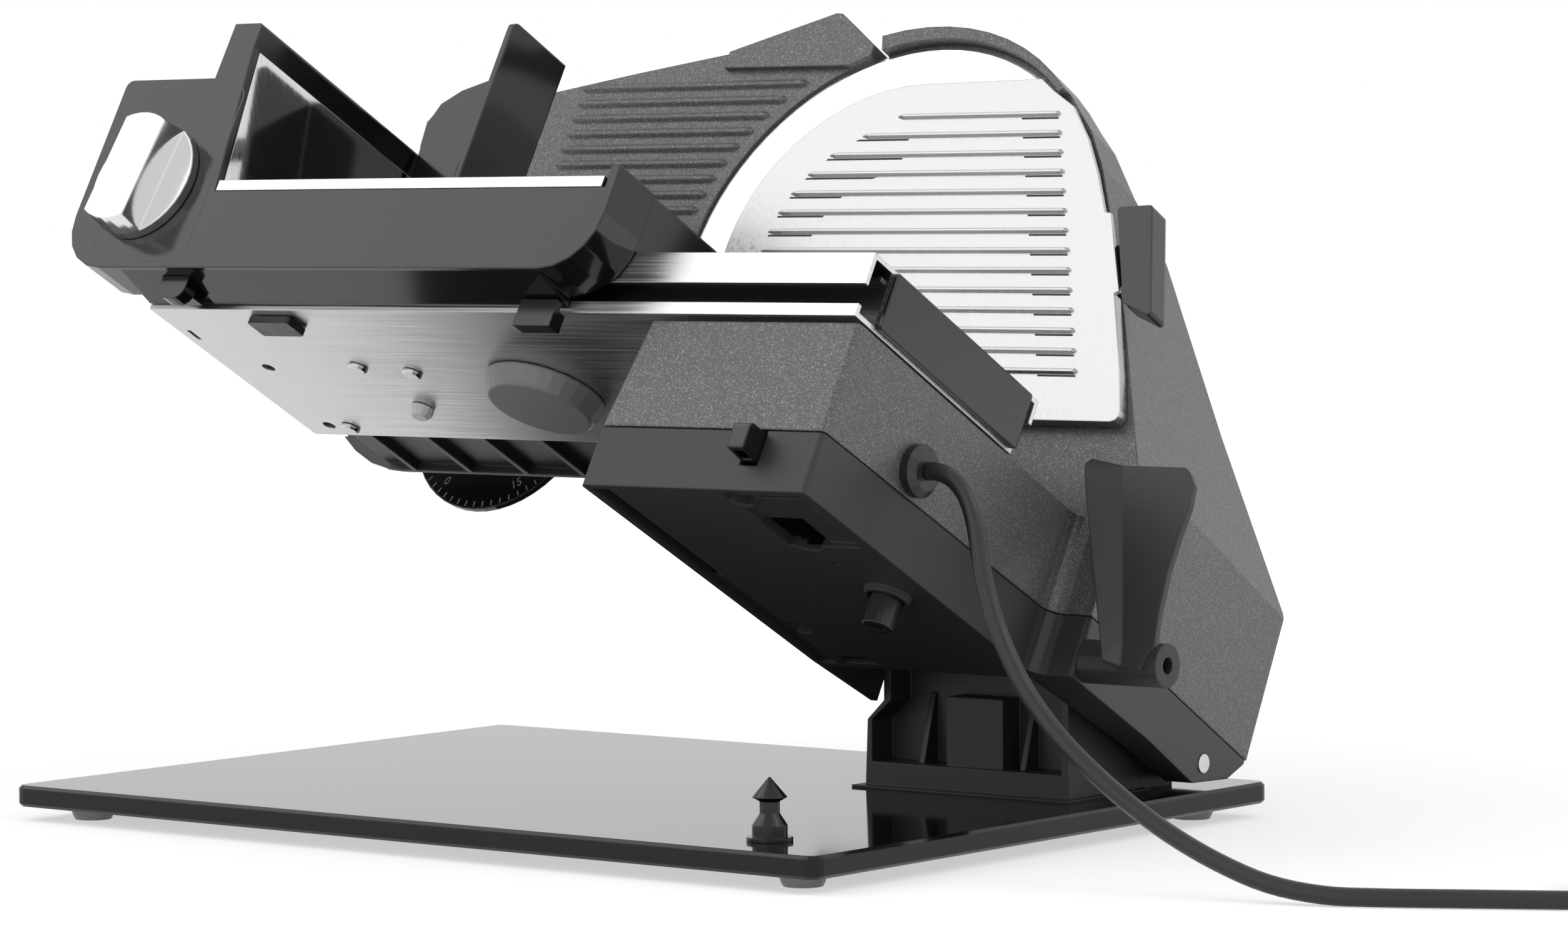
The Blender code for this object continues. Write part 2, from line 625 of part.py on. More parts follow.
def slice_off(mesh, point, normal):
    """Removes what lies on the normal's side of the plane and closes the cut."""
    shape = bmesh.new()
    shape.from_mesh(mesh)
    every = shape.verts[:] + shape.edges[:] + shape.faces[:]
    made = bmesh.ops.bisect_plane(shape, geom=every, dist=GAP / 1000, plane_co=point, plane_no=normal,
                                  clear_outer=True)
    rim = [edge for edge in made["geom_cut"] if isinstance(edge, bmesh.types.BMEdge)]
    bmesh.ops.contextual_create(shape, geom=rim)
    return mesh_of(shape)


def tower_mesh(inset, foot):
    body = common(prism_y(tower_outline(inset), TOWER_FRONT - OVERRUN, TOWER_BACK + OVERRUN),
                  prism_x(tower_side(inset, foot), 0.0, TOWER_SIDE + 2 * OVERRUN))
    corner = (TOWER_SIDE - inset, TOWER_FRONT, SIDE_KNEE)
    body = slice_off(body, corner, (1, SIDE_TAPER, 0))
    return slice_off(body, corner, (1, SIDE_TAPER, UPPER_TAPER))


def make_upper_housing():
    block_side = [(BLOCK_FRONT, parting(BLOCK_FRONT) + GAP),
                  (TOWER_FRONT + TOWER_WALL, parting(TOWER_FRONT) + GAP),
                  (TOWER_FRONT + TOWER_WALL, BLOCK_TOP), (BLOCK_FRONT, BLOCK_TOP)]
    lean = [(BLOCK_LEFT, 0.0), (TOWER_SIDE, 0.0), (TOWER_SIDE, BLOCK_TOP + OVERRUN),
            (BLOCK_LEFT + BLOCK_LEAN, BLOCK_TOP + OVERRUN)]
    front = common(prism_x(block_side, 0.0, TOWER_SIDE),
                   prism_z(plan_outline(0.0), 0.0, BLOCK_TOP + OVERRUN),
                   prism_y(lean, BLOCK_FRONT - OVERRUN, TOWER_FRONT + OVERRUN))
    pad = block((BLOCK_LEFT + BLOCK_LEAN + PAD_INSET, BLOCK_FRONT + PAD_INSET, BLOCK_TOP - OVERRUN),
                (BLOCK_RIGHT - PAD_INSET, RAIL_BACK - PAD_INSET, RAIL_BOTTOM - GAP))
    band_line = band_outer(10) + arc(BLADE_CENTRE, RECESS_RADIUS, BAND_END_DEGREES, BAND_START_DEGREES, 20)
    band = prism_y(band_line, TOWER_FRONT - GUARD_PROUD, TOWER_FRONT + TOWER_WALL)
    outside = fuse(tower_mesh(0.0, GAP), front, pad, band)
    front_room = common(
        prism_x([(BLOCK_FRONT + SHELL_WALL, 0.0), (TOWER_FRONT + 2 * TOWER_WALL, 0.0),
                 (TOWER_FRONT + 2 * TOWER_WALL, BLOCK_TOP - SHELL_WALL),
                 (BLOCK_FRONT + SHELL_WALL, BLOCK_TOP - SHELL_WALL)], 0.0, TOWER_SIDE),
        prism_z(plan_outline(SHELL_WALL), -OVERRUN, BLOCK_TOP),
        prism_y([(BLOCK_LEFT + SHELL_WALL, 0.0), (TOWER_SIDE, 0.0), (TOWER_SIDE, BLOCK_TOP),
                 (BLOCK_LEFT + BLOCK_LEAN + SHELL_WALL, BLOCK_TOP)], BLOCK_FRONT,
                TOWER_FRONT + 3 * TOWER_WALL))
    room = tower_mesh(TOWER_WALL, -OVERRUN)
    axle_hole = turned([(-OVERRUN, AXLE_RADIUS + RUN), (2 * OVERRUN, AXLE_RADIUS + RUN)],
                       (BLADE_X, TOWER_FRONT, BLADE_Z), (0, 1, 0), SMALL_ROUND_STEPS)
    notch = block((BLOCK_LEFT - OVERRUN, NOTCH_FRONT, 0.0),
                  (BLOCK_LEFT + TOWER_WALL + GAP, NOTCH_BACK, NOTCH_TOP))
    gland_hole = turned([(-OVERRUN, GLAND_NECK_RADIUS + GAP), (OVERRUN, GLAND_NECK_RADIUS + GAP)],
                        (BLOCK_RIGHT, GLAND_Y, GLAND_Z), (1, 0, 0), SMALL_ROUND_STEPS)
    housing = cut(outside, front_room, room, axle_hole, notch, gland_hole)
    placed("upper_housing", housing, metallic_paint, machine_frame)


make_lower_housing()
make_upper_housing()


# Aluminium platform with its rail, end caps and the small parts under it

RAIL_LEFT = 0.032
RAIL_RIGHT = 0.3473
RAIL_FRONT = -0.2398
RAIL_TOP = 0.0711
RAIL_SKIN = 0.0018
RAIL_STRIP_TOP = 0.0526
RAIL_FLANGE_FOOT = 0.0599
RAIL_BOX_FRONT = -0.2290
RAIL_LIP_FRONT = -0.2332
RAIL_LIP_BOTTOM = 0.0642
RAIL_LIP_THICKNESS = 0.0016
RAIL_HOOK_BACK = -0.136
RAIL_HOOK_FOOT = 0.0620
CAP_THICKNESS = 0.0020
CAP_INSET = 0.0010
CAP_PLUG = 0.0060


def rail_profile():
    strip = RAIL_FRONT + RAIL_SKIN
    return [(RAIL_FRONT, RAIL_BOTTOM), (RAIL_FRONT, RAIL_STRIP_TOP), (strip, RAIL_STRIP_TOP),
            (strip, RAIL_BOTTOM + RAIL_SKIN), (RAIL_BOX_FRONT, RAIL_BOTTOM + RAIL_SKIN),
            (RAIL_BOX_FRONT, RAIL_LIP_BOTTOM), (RAIL_LIP_FRONT, RAIL_LIP_BOTTOM),
            (RAIL_LIP_FRONT, RAIL_LIP_BOTTOM + RAIL_LIP_THICKNESS),
            (RAIL_BOX_FRONT, RAIL_LIP_BOTTOM + RAIL_LIP_THICKNESS), (RAIL_BOX_FRONT, RAIL_TOP - RAIL_SKIN),
            (strip, RAIL_TOP - RAIL_SKIN), (strip, RAIL_FLANGE_FOOT), (RAIL_FRONT, RAIL_FLANGE_FOOT),
            (RAIL_FRONT, RAIL_TOP), (RAIL_HOOK_BACK, RAIL_TOP), (RAIL_HOOK_BACK, RAIL_HOOK_FOOT),
            (RAIL_HOOK_BACK - RAIL_SKIN, RAIL_HOOK_FOOT),
            (RAIL_HOOK_BACK - RAIL_SKIN, RAIL_TOP - RAIL_SKIN),
            (RAIL_BACK, RAIL_TOP - RAIL_SKIN), (RAIL_BACK, RAIL_BOTTOM)]


def rail_room(inset):
    return box_outline((RAIL_BOX_FRONT + RAIL_SKIN + inset, RAIL_BOTTOM + RAIL_SKIN + inset),
                       (RAIL_BACK - RAIL_SKIN - inset, RAIL_TOP - RAIL_SKIN - inset))


PLATFORM_SCREWS = {"platform_screw_front_left": (0.0983, -0.1974),
                   "platform_screw_front_right": (0.1213, -0.1938),
                   "platform_screw_back": (0.0552, -0.1487)}
PEG_PLACE = (0.1047, -0.1664)
PEG_RADIUS = 0.0043
PEG_STEM_RADIUS = 0.0022
PEG_HEIGHT = 0.0042
COVER_PLACE = (0.1748, -0.1826)
COVER_RIM_RADIUS = 0.0222
COVER_FACE_RADIUS = 0.0197
COVER_HEIGHT = 0.0080
PAD_LOW = (0.0776, -0.2358)
PAD_HIGH = (0.0969, -0.2257)
PAD_THICKNESS = 0.0030
SLOT_LOW = (0.0364, -0.2236)
SLOT_HIGH = (0.0382, -0.2166)
HOLE_PLACES = [(0.0531, -0.1954), (0.0453, -0.1496)]
HOLE_RADIUS = 0.0027


def upward_bore(place, radius):
    return turned([(-OVERRUN, radius), (RAIL_SKIN + GAP, radius)], (*place, RAIL_BOTTOM), (0, 0, 1), 8)


def make_rail():
    rail = cut(prism_x(rail_profile(), RAIL_LEFT, RAIL_RIGHT),
               prism_x(rail_room(0.0), 0.0, RAIL_RIGHT + OVERRUN))
    bores = [upward_bore(place, SCREW_SHANK_RADIUS + GAP) for place in PLATFORM_SCREWS.values()]
    bores += [upward_bore(place, HOLE_RADIUS) for place in HOLE_PLACES]
    bores.append(upward_bore(PEG_PLACE, PEG_STEM_RADIUS + GAP))
    bores.append(block((*SLOT_LOW, RAIL_BOTTOM - OVERRUN), (*SLOT_HIGH, RAIL_BOTTOM + RAIL_SKIN + GAP)))
    placed("rail_platform", cut(rail, *bores), aluminium, machine_frame)


def make_rail_caps():
    face = [(RAIL_BOX_FRONT + CAP_INSET, RAIL_BOTTOM + 1.5 * CAP_INSET),
            (RAIL_BACK - CAP_INSET / 2, RAIL_BOTTOM + 1.5 * CAP_INSET),
            (RAIL_BACK - CAP_INSET / 2, RAIL_TOP - CAP_INSET),
            (RAIL_BOX_FRONT + CAP_INSET, RAIL_TOP - CAP_INSET)]
    for name, start, way in (("rail_cap_right", RAIL_RIGHT, 1), ("rail_cap_left", RAIL_LEFT, -1)):
        plate = prism_x(rounded(face, CAP_INSET, 2), start + way * GAP, start + way * CAP_THICKNESS)
        plug = prism_x(rail_room(GAP), start - way * CAP_PLUG, start + way * CAP_THICKNESS / 2)
        placed(name, fuse(plate, plug), gloss_plastic, machine_frame)


def make_screw(name, place, seat, length):
    profile = [(-SCREW_HEAD_HEIGHT, SCREW_HEAD_RADIUS * 0.8), (-SCREW_HEAD_HEIGHT * 0.6, SCREW_HEAD_RADIUS),
               (-GAP, SCREW_HEAD_RADIUS), (-GAP, SCREW_SHANK_RADIUS), (length, SCREW_SHANK_RADIUS)]
    screw = turned(profile, (*place, seat), (0, 0, 1), SMALL_ROUND_STEPS)
    placed(name, screw, steel, machine_frame)


def make_under_platform():
    for name, place in PLATFORM_SCREWS.items():
        make_screw(name, place, RAIL_BOTTOM, SCREW_LENGTH)
    peg = turned([(-PEG_HEIGHT, PEG_RADIUS * 0.7), (-PEG_HEIGHT * 0.6, PEG_RADIUS), (-GAP, PEG_RADIUS),
                  (-GAP, PEG_STEM_RADIUS), (SCREW_LENGTH, PEG_STEM_RADIUS)],
                 (*PEG_PLACE, RAIL_BOTTOM), (0, 0, 1), SMALL_ROUND_STEPS)
    placed("locating_peg", peg, white_plastic, machine_frame)
    cover = turned([(-COVER_HEIGHT, COVER_FACE_RADIUS - CAP_INSET),
                    (CAP_INSET - COVER_HEIGHT, COVER_FACE_RADIUS),
                    (-CAP_INSET, COVER_RIM_RADIUS), (-GAP, COVER_RIM_RADIUS - CAP_INSET / 2)],
                   (*COVER_PLACE, RAIL_BOTTOM), (0, 0, 1), 28)
    placed("round_cover", cover, light_plastic, machine_frame)
    pad = prism_z(rounded(box_outline(PAD_LOW, PAD_HIGH), CAP_INSET, 2), RAIL_BOTTOM - PAD_THICKNESS,
                  RAIL_BOTTOM - GAP)
    placed("rubber_stop", pad, black_rubber, machine_frame)
    for name, place in SCREW_PLACES.items():
        make_screw("housing_screw_" + name, place, floor_at(place[1]) + SCREW_RECESS_DEPTH,
                   SCREW_LENGTH / 4)


# Stop plate, its guide rods, drive shell and thickness dial

PLATE_FRONT = -0.1000
PLATE_WALL = 0.0028
STOP_BOTTOM = RAIL_TOP + 0.0022
STOP_ARC_RADIUS = RECESS_RADIUS
STOP_START_DEGREES = 111.0
STOP_RIM = [(0.129, 0.233), (0.086, 0.2254), (0.048, 0.218)]
STOP_CORNER = [(-0.008, 0.2140), (-0.013, 0.2060), (-0.012, 0.1950), (0.008, 0.1826)]
STOP_FOOT_X = 0.026
FENCE = [(0.130, 0.2325), (0.175, 0.2478), (0.178, 0.2475), (0.1975, 0.2335)]
FENCE_DEPTH = 0.0070
RIB_PITCH = 0.0067
RIB_COUNT = 9
RIB_TOP = 0.2190
RIB_WIDTH = 0.0042
RIB_HEIGHT = 0.0014
RIB_LEFT = 0.062
RIB_ARC_RADIUS = 0.0915
SHELL_FRONT = -0.0750
SHELL_BACK = -0.0530
SHELL_SKIN = 0.0025
SHELL_FOOT = 0.0770
SHELL_OUTLINE = [(-0.0205, 0.0795), (-0.0150, SHELL_FOOT), (0.150, SHELL_FOOT), (0.150, 0.0830),
                 (0.126, 0.0990), (0.118, 0.190), (0.100, 0.204), (0.014, 0.196), (-0.005, 0.170)]
RIM_OUTLINE = [(-0.0205, 0.0795), (-0.0120, 0.0735), (-0.0030, 0.0692), (0.0086, 0.0665), (0.0150, 0.0660),
               (0.150, 0.0660), (0.150, 0.0795)]
RIM_THICKNESS = 0.0015
SHELF_LEFT = 0.0068
SHELF_RIGHT = 0.150
SHELF_BOTTOM = 0.0692
SHELF_THICKNESS = 0.0024
SHELF_RIBS = 5
SHELF_RIB_DEPTH = 0.0032
SHELF_RIB_FRONT = -0.1300
ROD_PLACES = {"guide_rod_upper": (0.0900, 0.1600), "guide_rod_lower": (0.0980, 0.1100)}
ROD_RADIUS = 0.0025
SLEEVE_RADIUS = 0.0050
SLEEVE_LENGTH = 0.0160
ROD_FRONT = PLATE_FRONT + 0.0060
ROD_BACK = SHELL_BACK + 0.0025
TUBE_RADIUS = 0.0050
TUBE_LENGTH = 0.0245
TUBE_END = 0.0014
DIAL_PLACE = (0.0345, 0.1037)
DIAL_RADIUS = 0.0420
DIAL_THICKNESS = 0.0050
DIAL_GRIP_RADIUS = 0.0190
DIAL_GRIP_DEPTH = 0.0110
DIAL_SHAFT_RADIUS = 0.0040
DIAL_FLUTES = 16


def make_stop_plate():
    low = math.degrees(math.asin((BLADE_Z - STOP_BOTTOM) / STOP_ARC_RADIUS))
    edge = arc(BLADE_CENTRE, STOP_ARC_RADIUS, STOP_START_DEGREES, 180 + low, 20)
    outline = [(STOP_FOOT_X, STOP_BOTTOM)] + list(reversed(STOP_CORNER)) + list(reversed(STOP_RIM)) + edge
    plate = prism_y(outline, PLATE_FRONT, PLATE_FRONT + PLATE_WALL)
    top = (edge[0][0], FENCE[-1][1])
    fence = prism_y([edge[1], edge[0], top] + list(reversed(FENCE)) + [(FENCE[0][0],
                                                                        FENCE[0][1] - FENCE_DEPTH)],
                    PLATE_FRONT - FENCE_DEPTH / 3, PLATE_FRONT + FENCE_DEPTH)
    ribs = []
    for k in range(RIB_COUNT):
        z = RIB_TOP - k * RIB_PITCH
        right = BLADE_X - math.sqrt(RIB_ARC_RADIUS ** 2 - (z - BLADE_Z) ** 2)
        tip = RIB_WIDTH / 2
        rings = []
        for x, size in ((RIB_LEFT, 0.3), (RIB_LEFT + tip, 1.0), (right - tip, 1.0), (right, 0.3)):
            half = tip * size
            rise = RIB_HEIGHT * size
            rings.append([(x, PLATE_FRONT + GAP, z - half), (x, PLATE_FRONT - rise, z - half / 3),
                          (x, PLATE_FRONT - rise, z + half / 3), (x, PLATE_FRONT + GAP, z + half)])
        ribs.append(loft(rings))
    sleeves = []
    bores = []
    for x, z in ROD_PLACES.values():
        back = PLATE_FRONT + PLATE_WALL - GAP
        sleeves.append(turned([(0.0, SLEEVE_RADIUS), (SLEEVE_LENGTH, SLEEVE_RADIUS)], (x, back, z),
                              (0, 1, 0),
                              SMALL_ROUND_STEPS))
        bores.append(turned([(ROD_FRONT - back - GAP, ROD_RADIUS + GAP),
                             (SLEEVE_LENGTH + OVERRUN, ROD_RADIUS + GAP)],
                            (x, back, z), (0, 1, 0), SMALL_ROUND_STEPS))
    plate = cut(fuse(plate, fence, *ribs, *sleeves), *bores)
    placed("stop_plate", plate, metallic_paint, stop_slide)


def make_drive_shell():
    shell = prism_y(SHELL_OUTLINE, SHELL_FRONT, SHELL_BACK)
    middle = Vector((0.06, 0.13))
    inner = []
    for x, z in SHELL_OUTLINE:
        spoke = middle - Vector((x, z))
        inner.append(tuple(Vector((x, z)) + spoke.normalized() * 1.5 * SHELL_SKIN))
    room = prism_y(inner, SHELL_FRONT - OVERRUN, SHELL_BACK - SHELL_SKIN)
    rim = prism_y(RIM_OUTLINE, SHELL_FRONT - RIM_THICKNESS, SHELL_FRONT + GAP)
    shelf = block((SHELF_LEFT, RAIL_HOOK_BACK + GAP, SHELF_BOTTOM),
                  (SHELF_RIGHT, SHELL_FRONT - GAP, SHELF_BOTTOM + SHELF_THICKNESS))
    ribs = []
    for k in range(SHELF_RIBS):
        x = SHELF_LEFT + (SHELF_RIGHT - SHELF_LEFT - SHELL_SKIN) * (k + 0.5) / SHELF_RIBS
        ribs.append(block((x, SHELF_RIB_FRONT, SHELF_BOTTOM - SHELF_RIB_DEPTH),
                          (x + SHELL_SKIN, SHELL_FRONT - GAP, SHELF_BOTTOM + GAP)))
    bores = [turned([(0.0, DIAL_SHAFT_RADIUS + GAP), (2 * OVERRUN, DIAL_SHAFT_RADIUS + GAP)],
                    (DIAL_PLACE[0], SHELL_BACK - OVERRUN, DIAL_PLACE[1]), (0, 1, 0), SMALL_ROUND_STEPS)]
    tubes = []
    for x, z in ROD_PLACES.values():
        seat = (x, SHELL_BACK, z)
        tubes.append(turned([(-SHELL_SKIN / 2, TUBE_RADIUS), (TUBE_LENGTH, TUBE_RADIUS)], seat, (0, 1, 0),
                            SMALL_ROUND_STEPS))
        bores.append(turned([(-OVERRUN, ROD_RADIUS + GAP), (TUBE_LENGTH - TUBE_END, ROD_RADIUS + GAP)],
                            seat, (0, 1, 0),
                            SMALL_ROUND_STEPS))
    shell = cut(fuse(cut(shell, room), rim, shelf, *ribs, *tubes), *bores)
    placed("drive_shell", shell, grey_plastic, machine_frame)
    for name, (x, z) in ROD_PLACES.items():
        rod = turned([(0.0, ROD_RADIUS), (ROD_BACK - ROD_FRONT, ROD_RADIUS)], (x, ROD_FRONT, z), (0, 1, 0),
                     SMALL_ROUND_STEPS)
        placed(name, rod, steel, stop_slide)


def make_dial():
    front = SHELL_BACK + GAP
    disc = turned([(0.0, DIAL_RADIUS), (DIAL_THICKNESS / 2, DIAL_RADIUS),
                   (DIAL_THICKNESS, DIAL_RADIUS - DIAL_THICKNESS / 2)],
                  (DIAL_PLACE[0], front, DIAL_PLACE[1]), (0, 1, 0), 48)
    rings = []
    for depth in (0.0, DIAL_THICKNESS + DIAL_GRIP_DEPTH):
        ring = []
        for k in range(2 * DIAL_FLUTES):
            angle = math.tau * k / (2 * DIAL_FLUTES)
            radius = DIAL_GRIP_RADIUS * (1.0 if k % 2 else 0.93)
            ring.append((DIAL_PLACE[0] + radius * math.cos(angle), front + depth,
                         DIAL_PLACE[1] + radius * math.sin(angle)))
        rings.append(ring)
    shaft = turned([(-3 * SHELL_SKIN, DIAL_SHAFT_RADIUS), (DIAL_THICKNESS / 2, DIAL_SHAFT_RADIUS)],
                   (DIAL_PLACE[0], front, DIAL_PLACE[1]), (0, 1, 0), SMALL_ROUND_STEPS)
    placed("thickness_dial", fuse(disc, loft(rings), shaft), gloss_plastic, dial_axis,
           (DIAL_PLACE[0], front, DIAL_PLACE[1]))


stop_slide = empty("stop_slide", machine_frame)
dial_axis = empty("dial_axis", machine_frame, (DIAL_PLACE[0], SHELL_BACK + GAP, DIAL_PLACE[1]))
make_rail()
make_rail_caps()
make_under_platform()
make_stop_plate()
make_drive_shell()
make_dial()


# Blade with its drive train

HUB_RADIUS = 0.0150
GEAR_TEETH = 60
PINION_TEETH = 8
GEAR_MODULE = 0.0015
TOOTH_HEIGHT_SHARE = 0.75
TOOTH_FOOT_SHARE = 0.62
TOOTH_TIP_SHARE = 0.30
GEAR_THICKNESS = 0.0060
GEAR_FRONT = TOWER_FRONT + TOWER_WALL + 0.0010
MOTOR_RADIUS = 0.0215
MOTOR_LENGTH = 0.0460
MOTOR_SHAFT_RADIUS = 0.0025
MOTOR_BOSS_RADIUS = 0.0060
MOTOR_BOSS_DEPTH = 0.0012
BLADE_FRONT = -0.1010


def gear_outline(centre, teeth, phase):
    """Teeth with straight flanks, slim enough to leave backlash."""
    pitch_radius = GEAR_MODULE * teeth / 2
    depth = GEAR_MODULE * TOOTH_HEIGHT_SHARE
    points = []
    for k in range(teeth):
        for share, radius in ((-TOOTH_FOOT_SHARE, pitch_radius - depth * 1.2),
                              (-TOOTH_TIP_SHARE, pitch_radius + depth),
                              (TOOTH_TIP_SHARE, pitch_radius + depth),
                              (TOOTH_FOOT_SHARE, pitch_radius - depth * 1.2)):
            angle = phase + math.tau * (k + share / 2) / teeth
            points.append((centre[0] + radius * math.cos(angle), centre[1] + radius * math.sin(angle)))
    return points


MESH_ANGLE = math.radians(-90)
GEAR_DISTANCE = GEAR_MODULE * (GEAR_TEETH + PINION_TEETH) / 2
PINION_CENTRE = (BLADE_X + GEAR_DISTANCE * math.cos(MESH_ANGLE),
                 BLADE_Z + GEAR_DISTANCE * math.sin(MESH_ANGLE))


def make_blade():
    dish = [(0.0, HUB_RADIUS), (BLADE_THICKNESS / 3, BLADE_FLAT_RADIUS),
            (BLADE_THICKNESS, BLADE_RADIUS - BLADE_THICKNESS), (BLADE_THICKNESS * 1.3, BLADE_RADIUS),
            (BLADE_DISH - BLADE_THICKNESS / 2, BLADE_FLAT_RADIUS),
            (BLADE_DISH - BLADE_THICKNESS / 2, HUB_RADIUS)]
    body = turned(dish, (BLADE_X, BLADE_FRONT, BLADE_Z), (0, 1, 0), 72)
    placed("blade", body, stainless, blade_axis, (BLADE_X, BLADE_FRONT, BLADE_Z))


def make_drive_train():
    axle_end = GEAR_FRONT + GEAR_THICKNESS + 0.5 * GEAR_THICKNESS
    axle_start = BLADE_FRONT + BLADE_DISH - BLADE_THICKNESS / 2 + GAP
    axle = turned([(0.0, AXLE_RADIUS), (axle_end - axle_start, AXLE_RADIUS)],
                  (BLADE_X, axle_start, BLADE_Z), (0, 1, 0))
    gear = prism_y(gear_outline(BLADE_CENTRE, GEAR_TEETH, MESH_ANGLE), GEAR_FRONT,
                   GEAR_FRONT + GEAR_THICKNESS)
    gear = cut(gear, turned([(-OVERRUN, AXLE_RADIUS + GAP), (2 * OVERRUN, AXLE_RADIUS + GAP)],
                            (BLADE_X, GEAR_FRONT, BLADE_Z), (0, 1, 0)))
    origin = (BLADE_X, BLADE_FRONT, BLADE_Z)
    placed("blade_axle", axle, steel, blade_axis, origin)
    placed("blade_gear", gear, nylon, blade_axis, origin)
    phase = MESH_ANGLE + math.pi + math.pi / PINION_TEETH
    pinion = prism_y(gear_outline(PINION_CENTRE, PINION_TEETH, phase), GEAR_FRONT,
                     GEAR_FRONT + GEAR_THICKNESS)
    motor_front = GEAR_FRONT + GEAR_THICKNESS + RUN
    shaft = turned([(-RUN - GAP, MOTOR_SHAFT_RADIUS), (MOTOR_BOSS_DEPTH + 3 * RUN, MOTOR_SHAFT_RADIUS)],
                   (PINION_CENTRE[0], motor_front, PINION_CENTRE[1]), (0, 1, 0), SMALL_ROUND_STEPS)
    placed("motor_pinion", fuse(pinion, shaft), steel, pinion_axis,
           (PINION_CENTRE[0], GEAR_FRONT, PINION_CENTRE[1]))
    motor = turned([(RUN, MOTOR_BOSS_RADIUS), (MOTOR_BOSS_DEPTH, MOTOR_BOSS_RADIUS),
                    (MOTOR_BOSS_DEPTH, MOTOR_RADIUS),
                    (MOTOR_LENGTH, MOTOR_RADIUS), (MOTOR_LENGTH, MOTOR_BOSS_RADIUS),
                    (MOTOR_LENGTH + 3 * MOTOR_BOSS_DEPTH, MOTOR_BOSS_RADIUS)],
                   (PINION_CENTRE[0], motor_front, PINION_CENTRE[1]), (0, 1, 0))
    mount = block((PINION_CENTRE[0] - MOTOR_RADIUS / 3, motor_front + MOTOR_LENGTH / 3,
                   TOWER_SHELF + TOWER_WALL + GAP),
                  (PINION_CENTRE[0] + MOTOR_RADIUS / 3, motor_front + MOTOR_LENGTH * 2 / 3,
                   PINION_CENTRE[1]))
    bore = turned([(0.0, MOTOR_SHAFT_RADIUS + GAP), (MOTOR_BOSS_DEPTH + 4 * RUN, MOTOR_SHAFT_RADIUS + GAP)],
                  (PINION_CENTRE[0], motor_front, PINION_CENTRE[1]), (0, 1, 0), SMALL_ROUND_STEPS)
    placed("motor", cut(fuse(motor, mount), bore), steel, machine_frame)


# Stainless cover over the blade and the latch that holds it

COVER_FRONT = -0.1032
COVER_SKIN = 0.0016
COVER_ARC_RADIUS = 0.0675
COVER_TOP = 0.2167
COVER_BOTTOM = 0.0805
COVER_RIGHT_EDGE = [(0.3560, 0.0850), (0.3508, 0.1004), (0.3388, 0.1300), (0.3405, 0.1309),
                    (0.3270, 0.1617),
                    (0.3244, 0.1620), (0.3160, 0.1780), (0.3076, 0.1916), (0.2968, 0.2050),
                    (0.2862, 0.2115),
                    (0.2790, COVER_TOP)]
LOUVRE_COUNT = 14
LOUVRE_PITCH = 0.0079
LOUVRE_TOP = 0.2020
LOUVRE_WIDTH = 0.0026
LOUVRE_HEIGHT = 0.0012
LOUVRE_RIGHT = 0.2922
LOUVRE_RIGHT_SLOPE = 0.405
LOUVRE_ARC_RADIUS = 0.0505
CLIP_FRONT = -0.1080
CLIP_OUTLINE = [(0.3473, 0.1236), (0.3607, 0.1182), (0.3471, 0.1620), (0.3327, 0.1612)]
CLIP_ROUND = 0.0012
TONGUE_OUTLINE = [(0.3310, 0.1350), (0.3480, 0.1350), (0.3420, 0.1500), (0.3250, 0.1500)]
TONGUE_THICKNESS = 0.0026


def make_cover_plate():
    edge = arc((BLADE_X, BLADE_Z), COVER_ARC_RADIUS, 91, 180 + 83, 24)
    bottom_left = (edge[-1][0], COVER_BOTTOM)
    corner = rounded([bottom_left, (COVER_RIGHT_EDGE[0][0] + COVER_SKIN, COVER_BOTTOM),
                      COVER_RIGHT_EDGE[0]],
                     [0, 2 * COVER_SKIN, 0], 3)
    outline = edge + corner + COVER_RIGHT_EDGE[1:]
    plate = prism_y(outline, COVER_FRONT, COVER_FRONT + COVER_SKIN)
    seat = [(x, z) for x, z in corner[1:-1]] + COVER_RIGHT_EDGE[:3]
    inner = [(x - COVER_SKIN, max(z, COVER_BOTTOM + COVER_SKIN)) for x, z in reversed(seat)]
    rim = prism_y([(bottom_left[0] + HUB_RADIUS, COVER_BOTTOM)] + seat + inner
                  + [(bottom_left[0] + HUB_RADIUS, COVER_BOTTOM + COVER_SKIN)],
                  COVER_FRONT + COVER_SKIN / 2, TOWER_FRONT - GAP)
    disc = turned([(0.0, BLADE_RADIUS + 4 * GAP), (OVERRUN * 2, BLADE_RADIUS + 4 * GAP)],
                  (BLADE_X, COVER_FRONT + COVER_SKIN, BLADE_Z), (0, 1, 0), 48)
    louvres = []
    for k in range(LOUVRE_COUNT):
        z = LOUVRE_TOP - k * LOUVRE_PITCH
        left = BLADE_X - math.sqrt(max(LOUVRE_ARC_RADIUS ** 2 - (max(z, BLADE_Z) - BLADE_Z) ** 2, 0.0))
        left = min(left, BLADE_X - LOUVRE_PITCH)
        right = LOUVRE_RIGHT + LOUVRE_RIGHT_SLOPE * (LOUVRE_TOP - z)
        rings = []
        for x, size in ((left, 0.3), (left + LOUVRE_WIDTH, 1.0), (right - LOUVRE_WIDTH / 2, 1.0),
                        (right, 0.3)):
            half = LOUVRE_WIDTH * size / 2
            rings.append([(x, COVER_FRONT + GAP, z - half),
                          (x, COVER_FRONT - LOUVRE_HEIGHT * size, z - half / 3),
                          (x, COVER_FRONT - LOUVRE_HEIGHT * size, z + half / 3),
                          (x, COVER_FRONT + GAP, z + half)])
        louvres.append(loft(rings))
    placed("cover_plate", fuse(plate, cut(rim, disc), *louvres), stainless, machine_frame)


